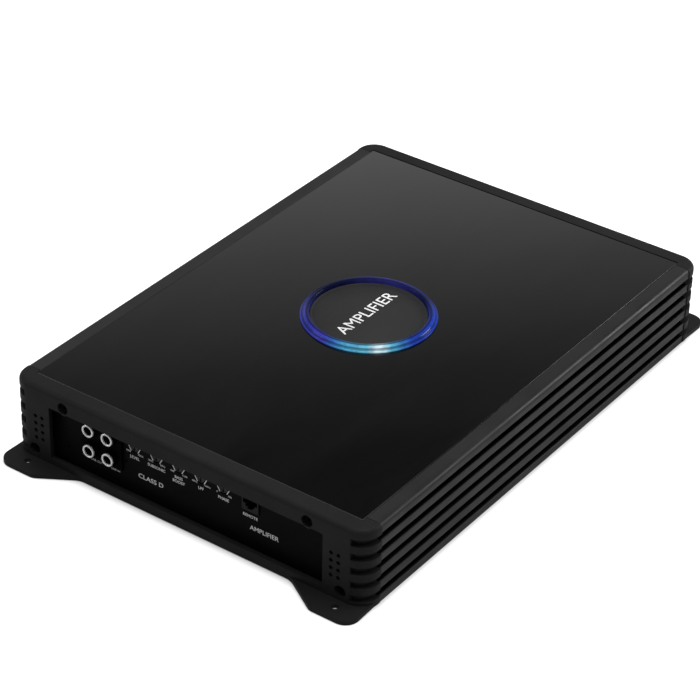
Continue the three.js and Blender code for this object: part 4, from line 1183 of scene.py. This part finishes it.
def dress_frame_nodes():
    """Gives every frame node that still shows the finish of its own material slot."""
    for node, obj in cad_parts.items():
        if obj.hide_render:
            continue
        wanted = NODE_FINISH.get(node)
        for key, value in NODE_FAMILY.items():
            if wanted is None and key in node:
                wanted = value
        obj.data.materials.clear()
        obj.data.materials.append(FINISH[wanted])


NODE_FINISH = {
    "base_plate": "black_steel_sheet",
    "heatsink_shell": "satin_black_aluminium",
    "supply_transformer": "copper_winding",
    "output_inductor": "copper_winding",
}
NODE_FAMILY = {
    "capacitor": "capacitor_sleeve",
    "clamp": "zinc_steel",
    "board": "circuit_board",
    "dial_body": "black_plastic",
    "": "black_plastic",
}


# ---- studio ------------------------------------------------------------------------------
def make_camera():
    azimuth, elevation, roll = (math.radians(a) for a in (35.243, 33.351, 1.377))
    back = Vector((math.sin(azimuth) * math.cos(elevation), -math.cos(azimuth) * math.cos(elevation),
                   math.sin(elevation)))
    level = Vector((0, 0, 1)).cross(back).normalized()
    rise = back.cross(level)
    right = level * math.cos(roll) + rise * math.sin(roll)
    up = rise * math.cos(roll) - level * math.sin(roll)
    data = bpy.data.cameras.new("studio camera")
    data.lens = 137.7
    data.sensor_width = 36
    data.clip_start = 0.05
    data.clip_end = 60
    camera = bpy.data.objects.new("studio camera", data)
    scene.collection.objects.link(camera)
    matrix = Matrix((right, up, back)).transposed().to_4x4()
    matrix.translation = 0.252 * (right * -0.0368 + up * 0.0924 + back * 6.4412) - Vector((0.0011, 0, 0))
    camera.matrix_world = matrix
    scene.camera = camera


def area_light(name, place, target, size, power, colour=(1, 1, 1)):
    data = bpy.data.lights.new(name, "AREA")
    data.shape = "RECTANGLE"
    data.size, data.size_y = size
    data.energy = power
    data.color = colour
    light = bpy.data.objects.new(name, data)
    scene.collection.objects.link(light)
    light.location = place
    light.rotation_euler = (Vector(target) - Vector(place)).to_track_quat("-Z", "Y").to_euler()
    light.visible_camera = False
    return light


def make_floor():
    """A pale floor that looks near white to the camera, with a thin shadow where the object meets it."""
    mesh = bpy.data.meshes.new("floor")
    reach = 30
    corners = [(-reach, -reach, 0), (reach, -reach, 0), (reach, reach, 0), (-reach, reach, 0)]
    mesh.from_pydata(corners, [], [(0, 1, 2, 3)])
    floor = bpy.data.objects.new("floor", mesh)
    scene.collection.objects.link(floor)
    floor.location.z = -0.00003
    material, graph, coords, shader = start_material("pale studio floor")
    tone = graph.mix(graph.noise(coords, 3, 2.0), grey(0.42), grey(0.45))
    seen = graph.add("ShaderNodeLightPath").outputs["Is Camera Ray"]
    # The camera sees the floor glow, and ambient occlusion darkens that glow into a painted shadow where the
    # object meets it.
    clear_above = graph.add("ShaderNodeAmbientOcclusion", {"Distance": 0.01}).outputs["AO"]
    lift = graph.math("MULTIPLY", seen, graph.between(clear_above, 0.0, 0.85, 0.3, 0.9))
    graph.link(tone, shader.inputs["Base Color"])
    shader.inputs["Emission Color"].default_value = grey(1.0)
    graph.link(lift, shader.inputs["Emission Strength"])
    graph.link(graph.between(graph.noise(coords, 40, 2.0), 0.7, 0.85), shader.inputs["Roughness"])
    shader.inputs["Specular IOR Level"].default_value = 0.1
    mesh.materials.append(material)


def make_reflection_card():
    """A graded white card above and to the rear left, for the long soft reflection in the gloss panel.

    Only reflections show it.
    """
    mesh = bpy.data.meshes.new("graded card")
    low, high = (-4.0, -1.5), (1.5, 4.0)
    height = 1.2
    mesh.from_pydata([(low[0], low[1], height), (high[0], low[1], height), (high[0], high[1], height),
                      (low[0], high[1], height)], [], [(3, 2, 1, 0)])
    card = bpy.data.objects.new("graded card", mesh)
    scene.collection.objects.link(card)
    material = bpy.data.materials.new("graded card light")
    material.use_nodes = True
    material.node_tree.nodes.clear()
    graph = Graph(material.node_tree)
    coords = graph.add("ShaderNodeTexCoord").outputs["Object"]
    parts = graph.add("ShaderNodeSeparateXYZ", {0: coords}).outputs
    along = graph.math("SUBTRACT", parts["Y"], parts["X"])
    share = graph.between(along, 0.0, 1.0, 2.0, 4.4)
    glow = graph.ramp(share, [(0.0, grey(0.06)), (0.125, grey(0.16)), (0.275, grey(0.42)),
                              (0.5, grey(0.95)), (0.66, grey(0.4)), (1.0, grey(0.06))])
    light = graph.add("ShaderNodeEmission", {"Color": glow, "Strength": 1.0}).outputs[0]
    graph.add("ShaderNodeOutputMaterial", {"Surface": light})
    mesh.materials.append(material)
    card.visible_camera = False
    card.visible_diffuse = False
    card.visible_shadow = False
    card.visible_transmission = False


def make_world():
    """Even white surroundings, brighter to the camera than as a light."""
    world = bpy.data.worlds.new("studio")
    world.use_nodes = True
    world.node_tree.nodes.clear()
    graph = Graph(world.node_tree)
    seen = graph.add("ShaderNodeBackground", {"Color": grey(1.0), "Strength": 1.0}).outputs[0]
    dim = graph.add("ShaderNodeBackground", {"Color": grey(1.0), "Strength": 0.28}).outputs[0]
    straight = graph.add("ShaderNodeLightPath").outputs["Is Camera Ray"]
    mixed = graph.add("ShaderNodeMixShader", {0: straight, 1: dim, 2: seen}).outputs[0]
    graph.add("ShaderNodeOutputWorld", {"Surface": mixed})
    scene.world = world


def make_studio():
    make_camera()
    make_floor()
    make_reflection_card()
    make_world()
    area_light("overhead softbox", (0.15, 0.25, 2.2), (0.1, 0.1, 0), (3.0, 3.0), 80)
    area_light("right rear softbox", (0.75, 1.0, 0.5), (0.13, 0.14, 0.03), (0.5, 0.4), 5.0)
    area_light("left front softbox", (-1.7, -1.1, 0.9), (-0.1, -0.1, 0.02), (0.8, 0.6), 4)
    scene.view_settings.view_transform = "Standard"
    scene.view_settings.look = "None"


make_studio()
make_heatsink()
cap_screws = make_end_caps()
make_cap_screws(cap_screws)
make_top()
make_control_panel()
make_phono_jacks()
make_remote_jack()
make_dials()
make_terminals()
make_fuses()
make_lamps()
make_base_screws()
dress_frame_nodes()
